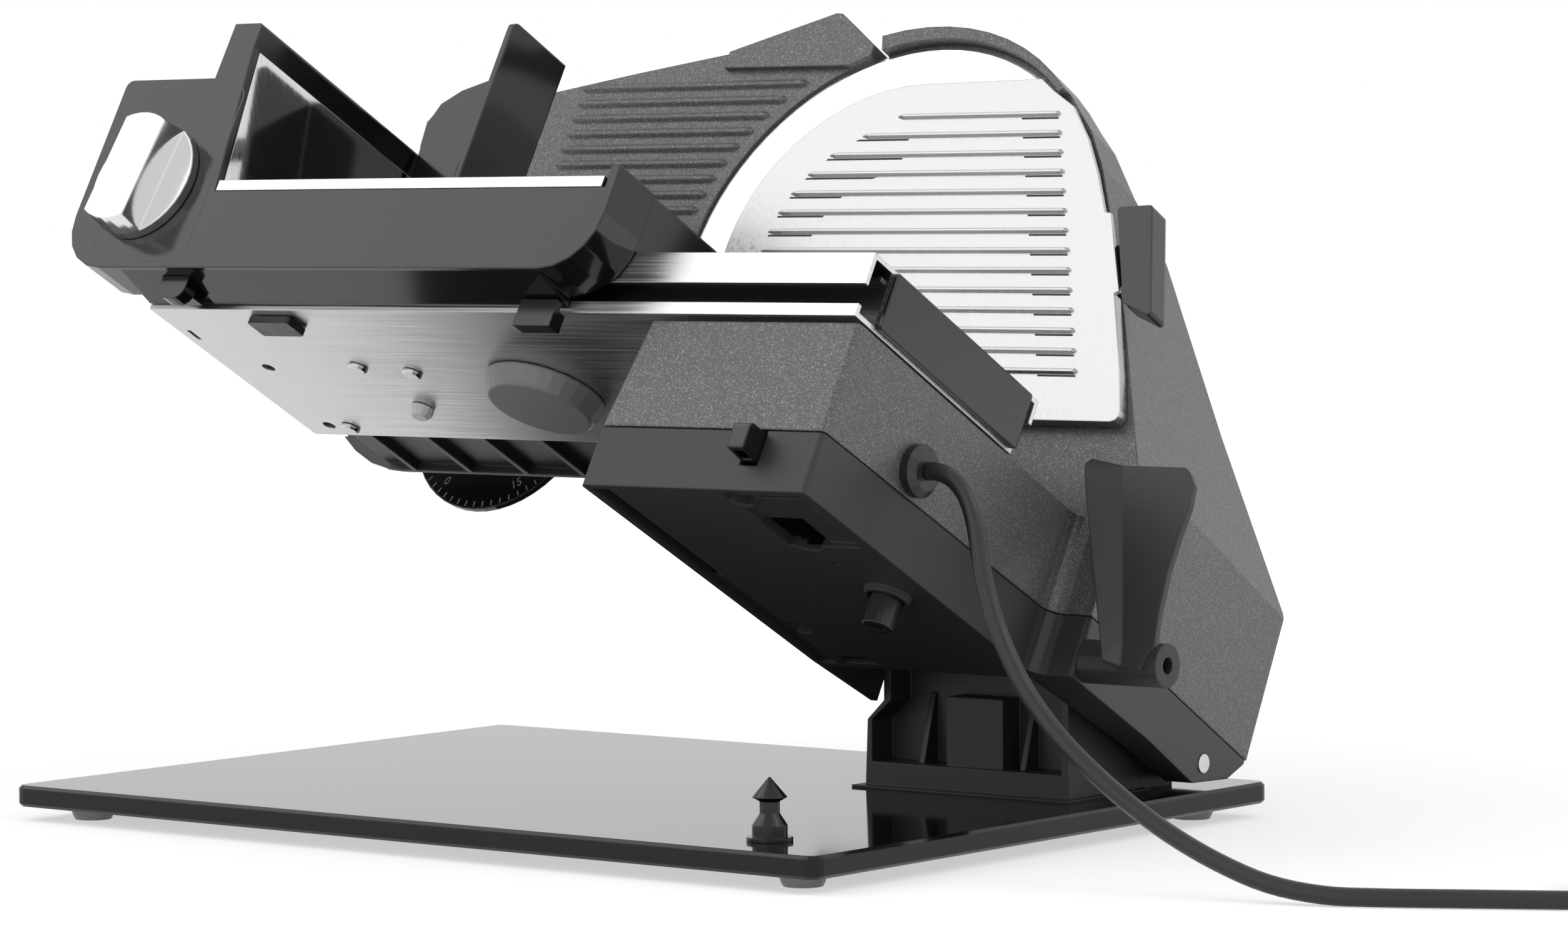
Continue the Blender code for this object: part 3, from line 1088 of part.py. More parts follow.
def make_cover_latch():
    body = prism_y(rounded(CLIP_OUTLINE, CLIP_ROUND, 2), CLIP_FRONT, TOWER_FRONT - 2 * GAP)
    back = TOWER_FRONT - GAP
    tongue = prism_y(TONGUE_OUTLINE, back - TONGUE_THICKNESS, back)
    placed("cover_latch", fuse(body, tongue), gloss_plastic, clip_slide)


# Side lever, cable gland, release button and lift plunger

LEVER_HUB_RADIUS = 0.0074
LEVER_HUB_END = 0.3975
LEVER_BORE_RADIUS = 0.0029
LEVER_BORE_DEPTH = 0.0070
LEVER_SKIN = 0.0026
LEVER_FACE = -0.1012
LEVER_FLANGE_LEAN = 0.0048
# Each row gives a height, then the left edge, the fold and the right edge of the arm at that height.
LEVER_SECTIONS = [(-0.0085, 0.3812, 0.3858, 0.3930), (0.0000, 0.3775, 0.3838, 0.3965),
                  (0.0120, 0.3722, 0.3799, 0.3945), (0.0271, 0.3655, 0.3749, 0.3932),
                  (0.0400, 0.3599, 0.3707, 0.3934), (0.0512, 0.3549, 0.3670, 0.3941),
                  (0.0590, 0.3518, 0.3645, 0.3930), (0.0630, 0.3506, 0.3632, 0.3905),
                  (0.0650, 0.3530, 0.3627, 0.3880)]
GLAND_FLANGE_RADIUS = 0.0088
GLAND_FLANGE_DEPTH = 0.0030
GLAND_NOSE_RADIUS = 0.0066
GLAND_NOSE_DEPTH = 0.0052


def make_side_lever():
    rings = []
    for z, left, fold, right in LEVER_SECTIONS:
        rings.append([(left, LEVER_FACE - LEVER_FLANGE_LEAN, z), (fold, LEVER_FACE, z),
                      (right, LEVER_FACE, z),
                      (right, LEVER_FACE + LEVER_SKIN, z),
                      (fold - LEVER_SKIN / 2, LEVER_FACE + LEVER_SKIN, z),
                      (left - LEVER_SKIN / 4, LEVER_FACE - LEVER_FLANGE_LEAN + LEVER_SKIN, z)])
    arm = loft(rings)
    hub_start = side_at(LEVER_Y) + RUN
    hub = turned([(0.0, LEVER_HUB_RADIUS), (LEVER_HUB_END - hub_start, LEVER_HUB_RADIUS)],
                 (hub_start, LEVER_Y, LEVER_Z), (1, 0, 0), 20)
    low = LEVER_SECTIONS[0]
    bridge = block((low[1] + 4 * GAP, LEVER_FACE + GAP, low[0] + GAP),
                   (low[3] - GAP, LEVER_Y, LEVER_SECTIONS[1][0] + RUN))
    shaft = turned([(-LEVER_SHAFT_INSIDE, LEVER_SHAFT_RADIUS), (LEVER_SKIN, LEVER_SHAFT_RADIUS)],
                   (hub_start, LEVER_Y, LEVER_Z), (1, 0, 0), SMALL_ROUND_STEPS)
    bore = turned([(-LEVER_BORE_DEPTH, LEVER_BORE_RADIUS), (OVERRUN, LEVER_BORE_RADIUS)],
                  (LEVER_HUB_END, LEVER_Y, LEVER_Z), (1, 0, 0), SMALL_ROUND_STEPS)
    lever = fuse(cut(fuse(hub, shaft), bore), bridge, arm)
    placed("side_lever", lever, gloss_plastic, lever_axis, (TOWER_SIDE, LEVER_Y, LEVER_Z))


def make_cable_gland():
    profile = [(-OVERRUN, GLAND_NECK_RADIUS), (GAP, GLAND_NECK_RADIUS), (GAP, GLAND_FLANGE_RADIUS),
               (GLAND_FLANGE_DEPTH, GLAND_FLANGE_RADIUS), (GLAND_NOSE_DEPTH, GLAND_NOSE_RADIUS)]
    gland = turned(profile, (BLOCK_RIGHT, GLAND_Y, GLAND_Z), (1, 0, 0), 20)
    placed("cable_gland", gland, black_rubber, machine_frame)


def make_release_button():
    left = BUTTON_X - BUTTON_WIDTH / 2
    right = BUTTON_X + BUTTON_WIDTH / 2
    face = BLOCK_FRONT - BUTTON_PROUD
    profile = rounded([(face, BUTTON_BOTTOM + BUTTON_PROUD / 5), (BLOCK_FRONT + BUTTON_STEM, BUTTON_BOTTOM),
                       (BLOCK_FRONT + BUTTON_STEM, BUTTON_TOP), (face, BUTTON_TOP)],
                      [GAP, 0, 0, BUTTON_WIDTH / 4], 3)
    button = prism_x(profile, left, right)
    skin = BUTTON_WIDTH / 6
    hollow = block((left + skin, face + 2 * skin, BUTTON_BOTTOM - OVERRUN),
                   (right - skin, BLOCK_FRONT - skin, BUTTON_TOP - 2 * skin))
    placed("release_button", cut(button, hollow), gloss_plastic, button_slide)


def make_lift_plunger():
    seat = (PLUNGER_X, PLUNGER_Y, floor_at(PLUNGER_Y))
    inside = PLUNGER_GUIDE - PLUNGER_STROKE - RUN
    body = turned([(-PLUNGER_LENGTH, PLUNGER_RADIUS - GAP), (GAP - PLUNGER_LENGTH, PLUNGER_RADIUS),
                   (inside, PLUNGER_RADIUS)], seat, (0, 0, 1), 16)
    bore = turned([(-PLUNGER_LENGTH - OVERRUN, PLUNGER_BORE), (-PLUNGER_LENGTH / 2, PLUNGER_BORE)], seat,
                  (0, 0, 1), SMALL_ROUND_STEPS)
    placed("lift_plunger", cut(body, bore), black_rubber, plunger_slide)


blade_axis = empty("blade_axis", machine_frame, (BLADE_X, BLADE_FRONT, BLADE_Z))
pinion_axis = empty("pinion_axis", machine_frame, (PINION_CENTRE[0], GEAR_FRONT, PINION_CENTRE[1]))
clip_slide = empty("clip_slide", machine_frame)
lever_axis = empty("lever_axis", machine_frame, (TOWER_SIDE, LEVER_Y, LEVER_Z))
button_slide = empty("button_slide", machine_frame)
plunger_slide = empty("plunger_slide", machine_frame)
make_blade()
make_drive_train()
make_cover_plate()
make_cover_latch()
make_side_lever()
make_cable_gland()
make_release_button()
make_lift_plunger()


# Food carriage that slides along the rail, with its lock knob, mirror wall and pusher

PANEL_FRONT = -0.2610
PANEL_SKIN = 0.0030
PANEL_LEFT = 0.0011
PANEL_RIGHT = 0.2483
PANEL_FOOT = 0.0535
PANEL_LOW_RIGHT = 0.2270
CARRIAGE_TOP = 0.0925
HEAD_TOP_LEFT = 0.1305
HEAD_RIGHT = 0.0580
HEAD_FOOT_RIGHT = 0.0658
TAB_TOP = 0.1530
BOX_BACK = -0.2405
BOX_FOOT = 0.0500
BOX_LEFT = 0.0320
TRAY_BACK = -0.1065
TRAY_FOOT = RAIL_TOP + 0.0006
LIP_RIGHT = 0.2450
LIP_FOOT = 0.0845
LIP_DEPTH = 0.0008
WALL_LEFT = 0.0445
WALL_BACK = -0.1120
MIRROR_THICKNESS = 0.0008
RUNNER_DEPTH = 0.0038
RUNNER_LOW = 0.0540
RUNNER_HIGH = 0.0585
KNOB_X = 0.0317
KNOB_Z = 0.0874
KNOB_RADIUS = 0.0227
KNOB_RIM = 0.0040
KNOB_PROUD = 0.0140
KNOB_BAR_WIDTH = 0.0205
KNOB_SHAFT_RADIUS = 0.0040
BED_TOP = 0.0874
BED_SKIN = 0.0026
WALL_FOOT = 0.0640
WALL_TOP = 0.0570
RIM_FOOT = TAB_TOP - 0.0100
FOOT_RADIUS = 0.0210
HOOK_LEFT = 0.2110
HOOK_RIGHT = 0.2270
HOOK_FOOT = 0.0400
HOOK_STEP = 0.0465
HOOK_BACK = -0.2402
HOOK_FRONT = -0.2460
HOOK_SKIN = 0.0027
BRAKE_LEFT = 0.0508
BRAKE_RIGHT = 0.0636
BRAKE_FRONT = -0.2560
BRAKE_BACK = -0.2436
BRAKE_FOOT = 0.0440
BRAKE_THICKNESS = 0.0055
BRAKE_STEM_INSET = 0.0020
BRAKE_STEM_FOOT = 0.0478
BRAKE_ROUND = 0.0050
BRAKE_SLOT = 0.0045
PUSHER_RIGHT = 0.1140
PUSHER_FRONT = -0.1980
PUSHER_BACK = -0.1660
PUSHER_SKIN = 0.0025
PUSHER_FOOT_LEFT = 0.0672
PUSHER_TOP = 0.1895
PUSHER_SHOULDER = [(0.1000, 0.1872), (0.0810, 0.1824), (0.0700, 0.1785), (0.0620, 0.1730), (0.0585, 0.1640)]


def make_carriage_body():
    top_strip = LIP_FOOT - GAP
    face = rounded([(PANEL_LEFT, PANEL_FOOT), (PANEL_RIGHT, PANEL_FOOT), (PANEL_RIGHT, CARRIAGE_TOP),
                    (PANEL_RIGHT - PANEL_SKIN, CARRIAGE_TOP), (PANEL_RIGHT - PANEL_SKIN, top_strip),
                    (HEAD_FOOT_RIGHT, top_strip), (HEAD_RIGHT, RIM_FOOT + GAP), (WALL_LEFT, RIM_FOOT + GAP),
                    (WALL_LEFT, HEAD_TOP_LEFT), (PANEL_LEFT, HEAD_TOP_LEFT)],
                   [FOOT_RADIUS, FOOT_RADIUS, 0, 0, 0, 0, 0, 0, 0, PANEL_SKIN], 5)
    front = prism_y(face, PANEL_FRONT, BOX_BACK)
    under = prism_x([(PANEL_FRONT, PANEL_FOOT + GAP), (BOX_BACK, PANEL_FOOT + GAP), (BOX_BACK, BOX_FOOT)],
                    BOX_LEFT, PANEL_LOW_RIGHT)
    wall_front = PANEL_FRONT + PANEL_SKIN
    head_room = block((PANEL_LEFT + PANEL_SKIN, wall_front, PANEL_FOOT + FOOT_RADIUS / 2),
                      (WALL_TOP - 2 * PANEL_SKIN, BOX_BACK + OVERRUN, HEAD_TOP_LEFT - PANEL_SKIN))
    mirror_room = prism_y([(WALL_FOOT, BED_TOP), (HEAD_FOOT_RIGHT + OVERRUN, BED_TOP),
                           (HEAD_FOOT_RIGHT + OVERRUN, RIM_FOOT), (WALL_TOP, RIM_FOOT)],
                          wall_front, BOX_BACK + OVERRUN)
    strip_room = block((HEAD_FOOT_RIGHT, wall_front, PANEL_FOOT + PANEL_SKIN),
                       (PANEL_RIGHT - FOOT_RADIUS, BOX_BACK - PANEL_SKIN, top_strip + OVERRUN))
    bed = block((WALL_LEFT, BOX_BACK - PANEL_SKIN, TRAY_FOOT),
                (PANEL_RIGHT - PANEL_SKIN / 2, TRAY_BACK, BED_TOP))
    bed_room = block((WALL_LEFT + BED_SKIN, BOX_BACK + BED_SKIN, TRAY_FOOT - OVERRUN),
                     (PANEL_RIGHT - PANEL_SKIN / 2 - BED_SKIN, TRAY_BACK - BED_SKIN, BED_TOP - BED_SKIN))
    side = block((PANEL_RIGHT - PANEL_SKIN / 2 - BED_SKIN, PANEL_FRONT + GAP, TRAY_FOOT + GAP),
                 (PANEL_RIGHT - PANEL_SKIN / 2, TRAY_BACK, CARRIAGE_TOP))
    wall = prism_y([(WALL_LEFT, TRAY_FOOT), (WALL_FOOT, TRAY_FOOT), (WALL_FOOT, BED_TOP),
                    (WALL_TOP, RIM_FOOT),
                    (WALL_TOP, TAB_TOP), (WALL_LEFT, TAB_TOP)], PANEL_FRONT, WALL_BACK)
    rim = prism_y(rounded(box_outline((WALL_LEFT, RIM_FOOT), (HEAD_RIGHT, TAB_TOP)),
                          [0, 0, GAP * 4, GAP * 4], 2),
                  PANEL_FRONT, WALL_BACK)
    wall_room = prism_y([(WALL_LEFT - OVERRUN, BED_TOP), (WALL_FOOT - BED_SKIN, BED_TOP),
                         (WALL_TOP - BED_SKIN, RIM_FOOT), (WALL_TOP - BED_SKIN, TAB_TOP - BED_SKIN),
                         (WALL_LEFT - OVERRUN, TAB_TOP - BED_SKIN)],
                        BOX_BACK + PANEL_SKIN, WALL_BACK - BED_SKIN)
    runner = block((HEAD_FOOT_RIGHT, BOX_BACK - GAP, RUNNER_LOW),
                   (PANEL_LOW_RIGHT, BOX_BACK + RUNNER_DEPTH + 2 * GAP, RUNNER_HIGH))
    bore = turned([(-OVERRUN, KNOB_SHAFT_RADIUS + GAP), (2 * OVERRUN, KNOB_SHAFT_RADIUS + GAP)],
                  (KNOB_X, PANEL_FRONT, KNOB_Z), (0, 1, 0), SMALL_ROUND_STEPS)
    brake_slot = block((BRAKE_LEFT - GAP, BRAKE_FRONT - GAP, BOX_FOOT - OVERRUN),
                       (BRAKE_RIGHT + GAP, BOX_BACK + OVERRUN, BOX_FOOT + BRAKE_SLOT + 2 * GAP))
    body = cut(fuse(front, under), head_room, strip_room, mirror_room)
    body = fuse(body, cut(bed, bed_room), side, wall, rim, runner)
    body = cut(body, wall_room, bore, brake_slot)
    placed("carriage_body", body, gloss_plastic, carriage_slide)


def make_carriage_tray():
    front = PANEL_FRONT + LIP_DEPTH
    left = HEAD_FOOT_RIGHT + GAP
    right = LIP_RIGHT - 2 * GAP - PANEL_SKIN / 2
    top = BED_TOP + GAP + LIP_DEPTH
    sheet = block((left, front - GAP, BED_TOP + GAP), (right, TRAY_BACK, top))
    lip = block((left, PANEL_FRONT, LIP_FOOT), (right, front, top))
    placed("carriage_tray", fuse(sheet, lip), stainless, carriage_slide)
    low = top + 3 * GAP
    high = RIM_FOOT - GAP
    lean = (WALL_TOP - WALL_FOOT) / (RIM_FOOT - BED_TOP)
    low_x = WALL_FOOT + lean * (low - BED_TOP) + 1.5 * GAP
    high_x = WALL_FOOT + lean * (high - BED_TOP) + 1.5 * GAP
    mirror = prism_y([(low_x, low), (low_x + MIRROR_THICKNESS, low), (high_x + MIRROR_THICKNESS, high),
                      (high_x, high)], PANEL_FRONT + PANEL_SKIN + GAP, WALL_BACK)
    placed("mirror_insert", mirror, stainless, carriage_slide)


def make_lock_knob():
    centre = (KNOB_X, PANEL_FRONT, KNOB_Z)
    body = turned([(GAP, KNOB_RADIUS), (KNOB_RIM, KNOB_RADIUS), (KNOB_PROUD, KNOB_RADIUS - KNOB_RIM / 3)],
                  centre, (0, -1, 0), 36)
    scoops = []
    lean = Matrix.Rotation(math.radians(KNOB_LEAN_DEGREES), 3, "Y")
    for way in (-1, 1):
        half = KNOB_BAR_WIDTH / 2
        profile = [(way * half, KNOB_RIM), (way * 2 * KNOB_RADIUS, KNOB_RIM),
                   (way * 2 * KNOB_RADIUS, 2 * KNOB_PROUD),
                   (way * half * 0.9, 2 * KNOB_PROUD)]
        rings = []
        for z in (-2 * KNOB_RADIUS, 2 * KNOB_RADIUS):
            rings.append([Vector(centre) + lean @ Vector((x, -depth, z)) for x, depth in profile])
        scoops.append(loft(rings))
    shaft = turned([(-KNOB_PROUD, KNOB_SHAFT_RADIUS), (KNOB_RIM / 2, KNOB_SHAFT_RADIUS)], centre,
                   (0, -1, 0), SMALL_ROUND_STEPS)
    placed("lock_knob", fuse(cut(body, *scoops), shaft), light_plastic, knob_axis, centre)


def make_carriage_brake():
    top = BOX_FOOT + BRAKE_SLOT
    tongue = prism_y(rounded(box_outline((BRAKE_LEFT, BRAKE_FOOT), (BRAKE_RIGHT, top)),
                             [BRAKE_ROUND, BRAKE_ROUND, 0, 0]),
                     BRAKE_FRONT, BRAKE_FRONT + BRAKE_THICKNESS)
    stem = block((BRAKE_LEFT + BRAKE_STEM_INSET, BRAKE_FRONT + BRAKE_THICKNESS - GAP, BRAKE_STEM_FOOT),
                 (BRAKE_RIGHT - BRAKE_STEM_INSET, BRAKE_BACK, top - GAP))
    placed("carriage_brake", fuse(tongue, stem), gloss_plastic, brake_slide)
    strap = block((HOOK_LEFT, HOOK_FRONT, HOOK_FOOT), (HOOK_RIGHT, HOOK_FRONT + HOOK_SKIN, BOX_FOOT))
    foot = block((HOOK_LEFT, HOOK_FRONT + HOOK_SKIN / 2, HOOK_FOOT), (HOOK_RIGHT, HOOK_BACK, HOOK_STEP))
    placed("travel_hook", fuse(strap, foot), gloss_plastic, carriage_slide)


def make_pusher():
    outline = [(PUSHER_FOOT_LEFT, PUSHER_FOOT), (PUSHER_RIGHT, PUSHER_FOOT),
               (PUSHER_RIGHT, PUSHER_TOP)] + PUSHER_SHOULDER
    plate = prism_y(outline, PUSHER_BACK - PUSHER_SKIN, PUSHER_BACK)
    fin = prism_x(rounded([(PUSHER_FRONT, PUSHER_FOOT), (PUSHER_BACK, PUSHER_FOOT),
                           (PUSHER_BACK, PUSHER_TOP),
                           (PUSHER_FRONT, PUSHER_TOP)], [0, 0, 0, PUSHER_SKIN], 3),
                  PUSHER_RIGHT - PUSHER_SKIN, PUSHER_RIGHT)
    placed("pusher", fuse(plate, fin), gloss_plastic, pusher_slide)


PUSHER_FOOT = BED_TOP + GAP + LIP_DEPTH + GAP
KNOB_LEAN_DEGREES = 5.0
carriage_slide = empty("carriage_slide", machine_frame)
pusher_slide = empty("pusher_slide", carriage_slide)
brake_slide = empty("brake_slide", carriage_slide)
knob_axis = empty("knob_axis", carriage_slide, (KNOB_X, PANEL_FRONT, KNOB_Z))
make_carriage_body()
make_carriage_tray()
make_lock_knob()
make_carriage_brake()
make_pusher()


# Mains cord, from the gland down to the table, along it and into a coil with its plug

CORD_RADIUS = 0.0030
CORD_LEVEL = CORD_RADIUS - PLATE_THICKNESS - FOOT_HEIGHT
CORD_START = BLOCK_RIGHT + GLAND_NOSE_DEPTH + GAP
CORD_EXIT_Y = 0.0691
CORD_EXIT_Z = 0.1179
CORD_SPACING = 0.0130
CORD_DROP = [(CORD_START, CORD_EXIT_Y, CORD_EXIT_Z), (CORD_START + CORD_RADIUS, CORD_EXIT_Y, CORD_EXIT_Z),
             (0.3640, CORD_EXIT_Y, 0.1157), (0.3694, CORD_EXIT_Y, 0.1100), (0.3728, CORD_EXIT_Y, 0.1010),
             (0.3750, CORD_EXIT_Y, 0.0890),
             (0.3786, CORD_EXIT_Y, 0.0760), (0.3840, CORD_EXIT_Y, 0.0630), (0.3920, CORD_EXIT_Y, 0.0495),
             (0.4035, CORD_EXIT_Y, 0.0365), (0.4160, CORD_EXIT_Y, 0.0260), (0.4305, CORD_EXIT_Y, 0.0160),
             (0.4470, CORD_EXIT_Y, 0.0067), (0.4650, 0.0692, -0.0010), (0.4830, 0.0702, -0.0066),
             (0.5000, 0.0742, -0.0092), (0.5150, 0.0808, CORD_LEVEL), (0.5350, 0.0918, CORD_LEVEL),
             (0.5530, 0.1020, CORD_LEVEL)]
COIL_HEADING_DEGREES = 29.5
COIL_RUN_IN = 0.0600
COIL_STRAIGHT = 0.0120
COIL_RADIUS = 0.0398
COIL_PITCH = 0.0068
COIL_RISE = 0.0066
COIL_LAYER_TURNS = 2
COIL_TURN_POINTS = 24
COIL_TAIL = 0.0360
COIL_TAIL_STRAIGHT = 0.0080
PLUG_LENGTH = 0.0380
PLUG_WIDTH = 0.0353
PLUG_THICKNESS = 0.0137
PLUG_NECK = 0.0100
PLUG_PIN_RADIUS = 0.0020
PLUG_PIN_LENGTH = 0.0190
PLUG_PIN_SPACING = 0.0186

heading = Vector((math.cos(math.radians(COIL_HEADING_DEGREES)),
                  math.sin(math.radians(COIL_HEADING_DEGREES)), 0))
inward = Vector((-heading.y, heading.x, 0))
coil_entry = Vector(CORD_DROP[-1]) + heading * COIL_RUN_IN
coil_centre = coil_entry + inward * COIL_RADIUS


def smooth_route(points, spacing):
    known = [Vector(point) for point in points]
    known = [2 * known[0] - known[1]] + known + [2 * known[-1] - known[-2]]
    fine = []
    for before, start, end, after in zip(known, known[1:], known[2:], known[3:]):
        for step in range(20):
            t = step / 20
            bend = 2 * before - 5 * start + 4 * end - after
            twist = 3 * start - before - 3 * end + after
            fine.append(0.5 * (2 * start + (end - before) * t + bend * t ** 2 + twist * t ** 3))
    fine.append(known[-2])
    lengths = [0.0]
    for first, second in zip(fine, fine[1:]):
        lengths.append(lengths[-1] + (second - first).length)
    count = round(lengths[-1] / spacing)
    route = [fine[0]]
    for number in range(1, count):
        wanted = lengths[-1] * number / count
        after = next(index for index, length in enumerate(lengths) if length >= wanted)
        share = (wanted - lengths[after - 1]) / (lengths[after] - lengths[after - 1])
        route.append(fine[after - 1].lerp(fine[after], share))
    return route + [fine[-1]]


def coil_point(turns):
    half = COIL_LAYER_TURNS
    radius = COIL_RADIUS - COIL_PITCH * (half - abs(turns - half))
    climb = min(max((turns - half) * 2 + 0.5, 0.0), 1.0)
    angle = 2 * math.pi * turns
    outward = -inward * math.cos(angle) + heading * math.sin(angle)
    return coil_centre + outward * radius + Vector((0, 0, COIL_RISE * climb))


def coil_route():
    straight = COIL_STRAIGHT - GAP
    points = [coil_entry - heading * straight, coil_entry - heading * (straight - 2 * CORD_RADIUS)]
    whole = 2 * COIL_LAYER_TURNS
    points += [coil_point(step / COIL_TURN_POINTS) for step in range(whole * COIL_TURN_POINTS + 1)]
    for step in range(1, COIL_TURN_POINTS // 4 + 1):
        share = step / (COIL_TURN_POINTS // 4)
        angle = share * math.pi / 2
        outward = -inward * math.cos(angle) + heading * math.sin(angle)
        points.append(coil_centre + outward * (COIL_RADIUS + COIL_PITCH * share) + Vector((0, 0,
                                                                                           COIL_RISE)))
    corner = points[-1]
    drop = corner.z - (PLUG_THICKNESS / 2 - PLATE_THICKNESS - FOOT_HEIGHT)
    slope = COIL_TAIL - COIL_TAIL_STRAIGHT
    for step in range(1, 5):
        share = step / 4
        ease = share * share * (3 - 2 * share)
        points.append(corner + inward * slope * share - Vector((0, 0, drop * ease)))
    return points + [points[-1] + inward * COIL_TAIL_STRAIGHT]


def least_gap(points):
    least = math.inf
    apart = 4
    for first, place in enumerate(points):
        for second in range(first + apart, len(points) - 1):
            start, end = points[second], points[second + 1]
            share = min(max((place - start).dot(end - start) / (end - start).length_squared, 0), 1)
            least = min(least, (start.lerp(end, share) - place).length)
    return least - 2 * CORD_RADIUS


def route_length(points):
    return sum((second - first).length for first, second in zip(points, points[1:]))


def cord_tube(name, points, resolution):
    shape = bpy.data.curves.new(name, "CURVE")
    shape.dimensions = "3D"
    spline = shape.splines.new("POLY")
    spline.points.add(len(points) - 1)
    for point, place in zip(spline.points, points):
        point.co = (*place, 1)
    shape.bevel_depth = CORD_RADIUS
    shape.bevel_resolution = resolution
    shape.use_fill_caps = True
    shape.materials.append(black_rubber)
    tube = bpy.data.objects.new(name, shape)
    bpy.context.scene.collection.objects.link(tube)
    tube.parent = plate_frame


def make_plug(place):
    plug_frame = empty("plug_frame", plate_frame, place)
    plug_frame.rotation_euler.z = math.radians(COIL_HEADING_DEGREES + 90)
    half = PLUG_WIDTH / 2
    thick = PLUG_THICKNESS / 2
    side = [(GAP, PLUG_NECK / 2), (PLUG_LENGTH * 0.30, PLUG_NECK * 0.65), (PLUG_LENGTH * 0.62, half * 0.78),
            (PLUG_LENGTH * 0.80, half), (PLUG_LENGTH, half)]
    outline = [(x, -y) for x, y in side] + list(reversed(side))
    body = prism_z(outline, -thick, thick)
    pins = [turned([(-OVERRUN, PLUG_PIN_RADIUS), (PLUG_PIN_LENGTH - PLUG_PIN_RADIUS, PLUG_PIN_RADIUS),
                    (PLUG_PIN_LENGTH, PLUG_PIN_RADIUS / 2)],
                   (PLUG_LENGTH, way * PLUG_PIN_SPACING / 2, 0), (1, 0, 0),
                   SMALL_ROUND_STEPS) for way in (-1, 1)]
    placed("mains_plug", fuse(body, *pins), black_rubber, plug_frame)


def make_cord():
    end = coil_entry - heading * COIL_STRAIGHT
    lead = [Vector(CORD_DROP[0])] + smooth_route(CORD_DROP[1:] + [end - heading * COIL_RUN_IN / 3, end],
                                                 CORD_SPACING)
    coil = coil_route()
    cord_tube("cord_lead", lead, 2)
    cord_tube("cord_coil", coil, 1)
    make_plug(coil[-1])
    print("coil least gap mm", round(least_gap(coil) * 1000, 2))
    print("cord length m", round(route_length(lead) + route_length(coil), 3))


make_cord()


# The part's own origin: middle of the machine and its plate at the level of the table

CORD_PIECES = ("cord_lead", "cord_coil", "mains_plug")


def set_origin():
    bpy.context.view_layer.update()
    corners = [piece.matrix_world @ vertex.co for piece in bpy.data.objects
               if piece.type == "MESH" and piece.name not in CORD_PIECES for vertex in piece.data.vertices]
    low = [min(corner[axis] for corner in corners) for axis in range(3)]
    high = [max(corner[axis] for corner in corners) for axis in range(3)]
    root.location = (-(low[0] + high[0]) / 2, -(low[1] + high[1]) / 2, -low[2])


set_origin()
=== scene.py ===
# Household food slicer, tilted up on its glass plate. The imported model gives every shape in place,
# and this script dresses it: finishes, soft edges, marks, the mains cord, light and camera.
import math

import bmesh
import bpy
from mathutils import Matrix, Vector


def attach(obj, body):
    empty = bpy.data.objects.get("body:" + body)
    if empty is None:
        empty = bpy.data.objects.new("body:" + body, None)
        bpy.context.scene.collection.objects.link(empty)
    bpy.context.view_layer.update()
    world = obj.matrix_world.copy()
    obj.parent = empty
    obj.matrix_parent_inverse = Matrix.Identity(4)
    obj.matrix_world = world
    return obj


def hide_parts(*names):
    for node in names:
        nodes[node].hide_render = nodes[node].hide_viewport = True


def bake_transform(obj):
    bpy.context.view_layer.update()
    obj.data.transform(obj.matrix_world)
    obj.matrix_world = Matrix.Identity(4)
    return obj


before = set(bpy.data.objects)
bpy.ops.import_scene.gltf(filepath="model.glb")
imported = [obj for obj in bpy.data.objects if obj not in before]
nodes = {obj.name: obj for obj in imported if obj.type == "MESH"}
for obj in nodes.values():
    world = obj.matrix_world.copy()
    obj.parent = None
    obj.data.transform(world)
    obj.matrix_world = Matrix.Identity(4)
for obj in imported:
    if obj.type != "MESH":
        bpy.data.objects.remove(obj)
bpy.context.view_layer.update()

# The plate's front left corner, and the tilt hinge with the machine's own directions
plateHeight = 0.0126
plateCorner = Vector((-0.1885, -0.14087, plateHeight))
tilt = math.radians(29.3)
hinge = plateCorner + Vector((0, 0.2248, 0.0095))
machineTurn = Matrix.Rotation(-tilt, 4, "X")
machinePlace = Matrix.Translation(hinge) @ machineTurn


def onMachine(x, y, z):
    return machinePlace @ Vector((x, y, z))


# Camera
cameraSizes = {"place": (1.15435, -1.41591, 0.21442), "right": (0.788854, 0.614548, -0.006339),
               "up": (-0.024845, 0.042194, 0.9988), "lens": 118.62, "sensor": 36.0}


def makeCamera():
    data = bpy.data.cameras.new("camera")
    data.lens = cameraSizes["lens"]
    data.sensor_width = cameraSizes["sensor"]
    data.clip_end = 20
    camera = bpy.data.objects.new("camera", data)
    bpy.context.scene.collection.objects.link(camera)
    right = Vector(cameraSizes["right"])
    up = Vector(cameraSizes["up"])
    turn = Matrix((right, up, right.cross(up))).transposed()
    camera.matrix_world = Matrix.Translation(cameraSizes["place"]) @ turn.to_4x4()
    bpy.context.scene.camera = camera


makeCamera()
print("camera placed")


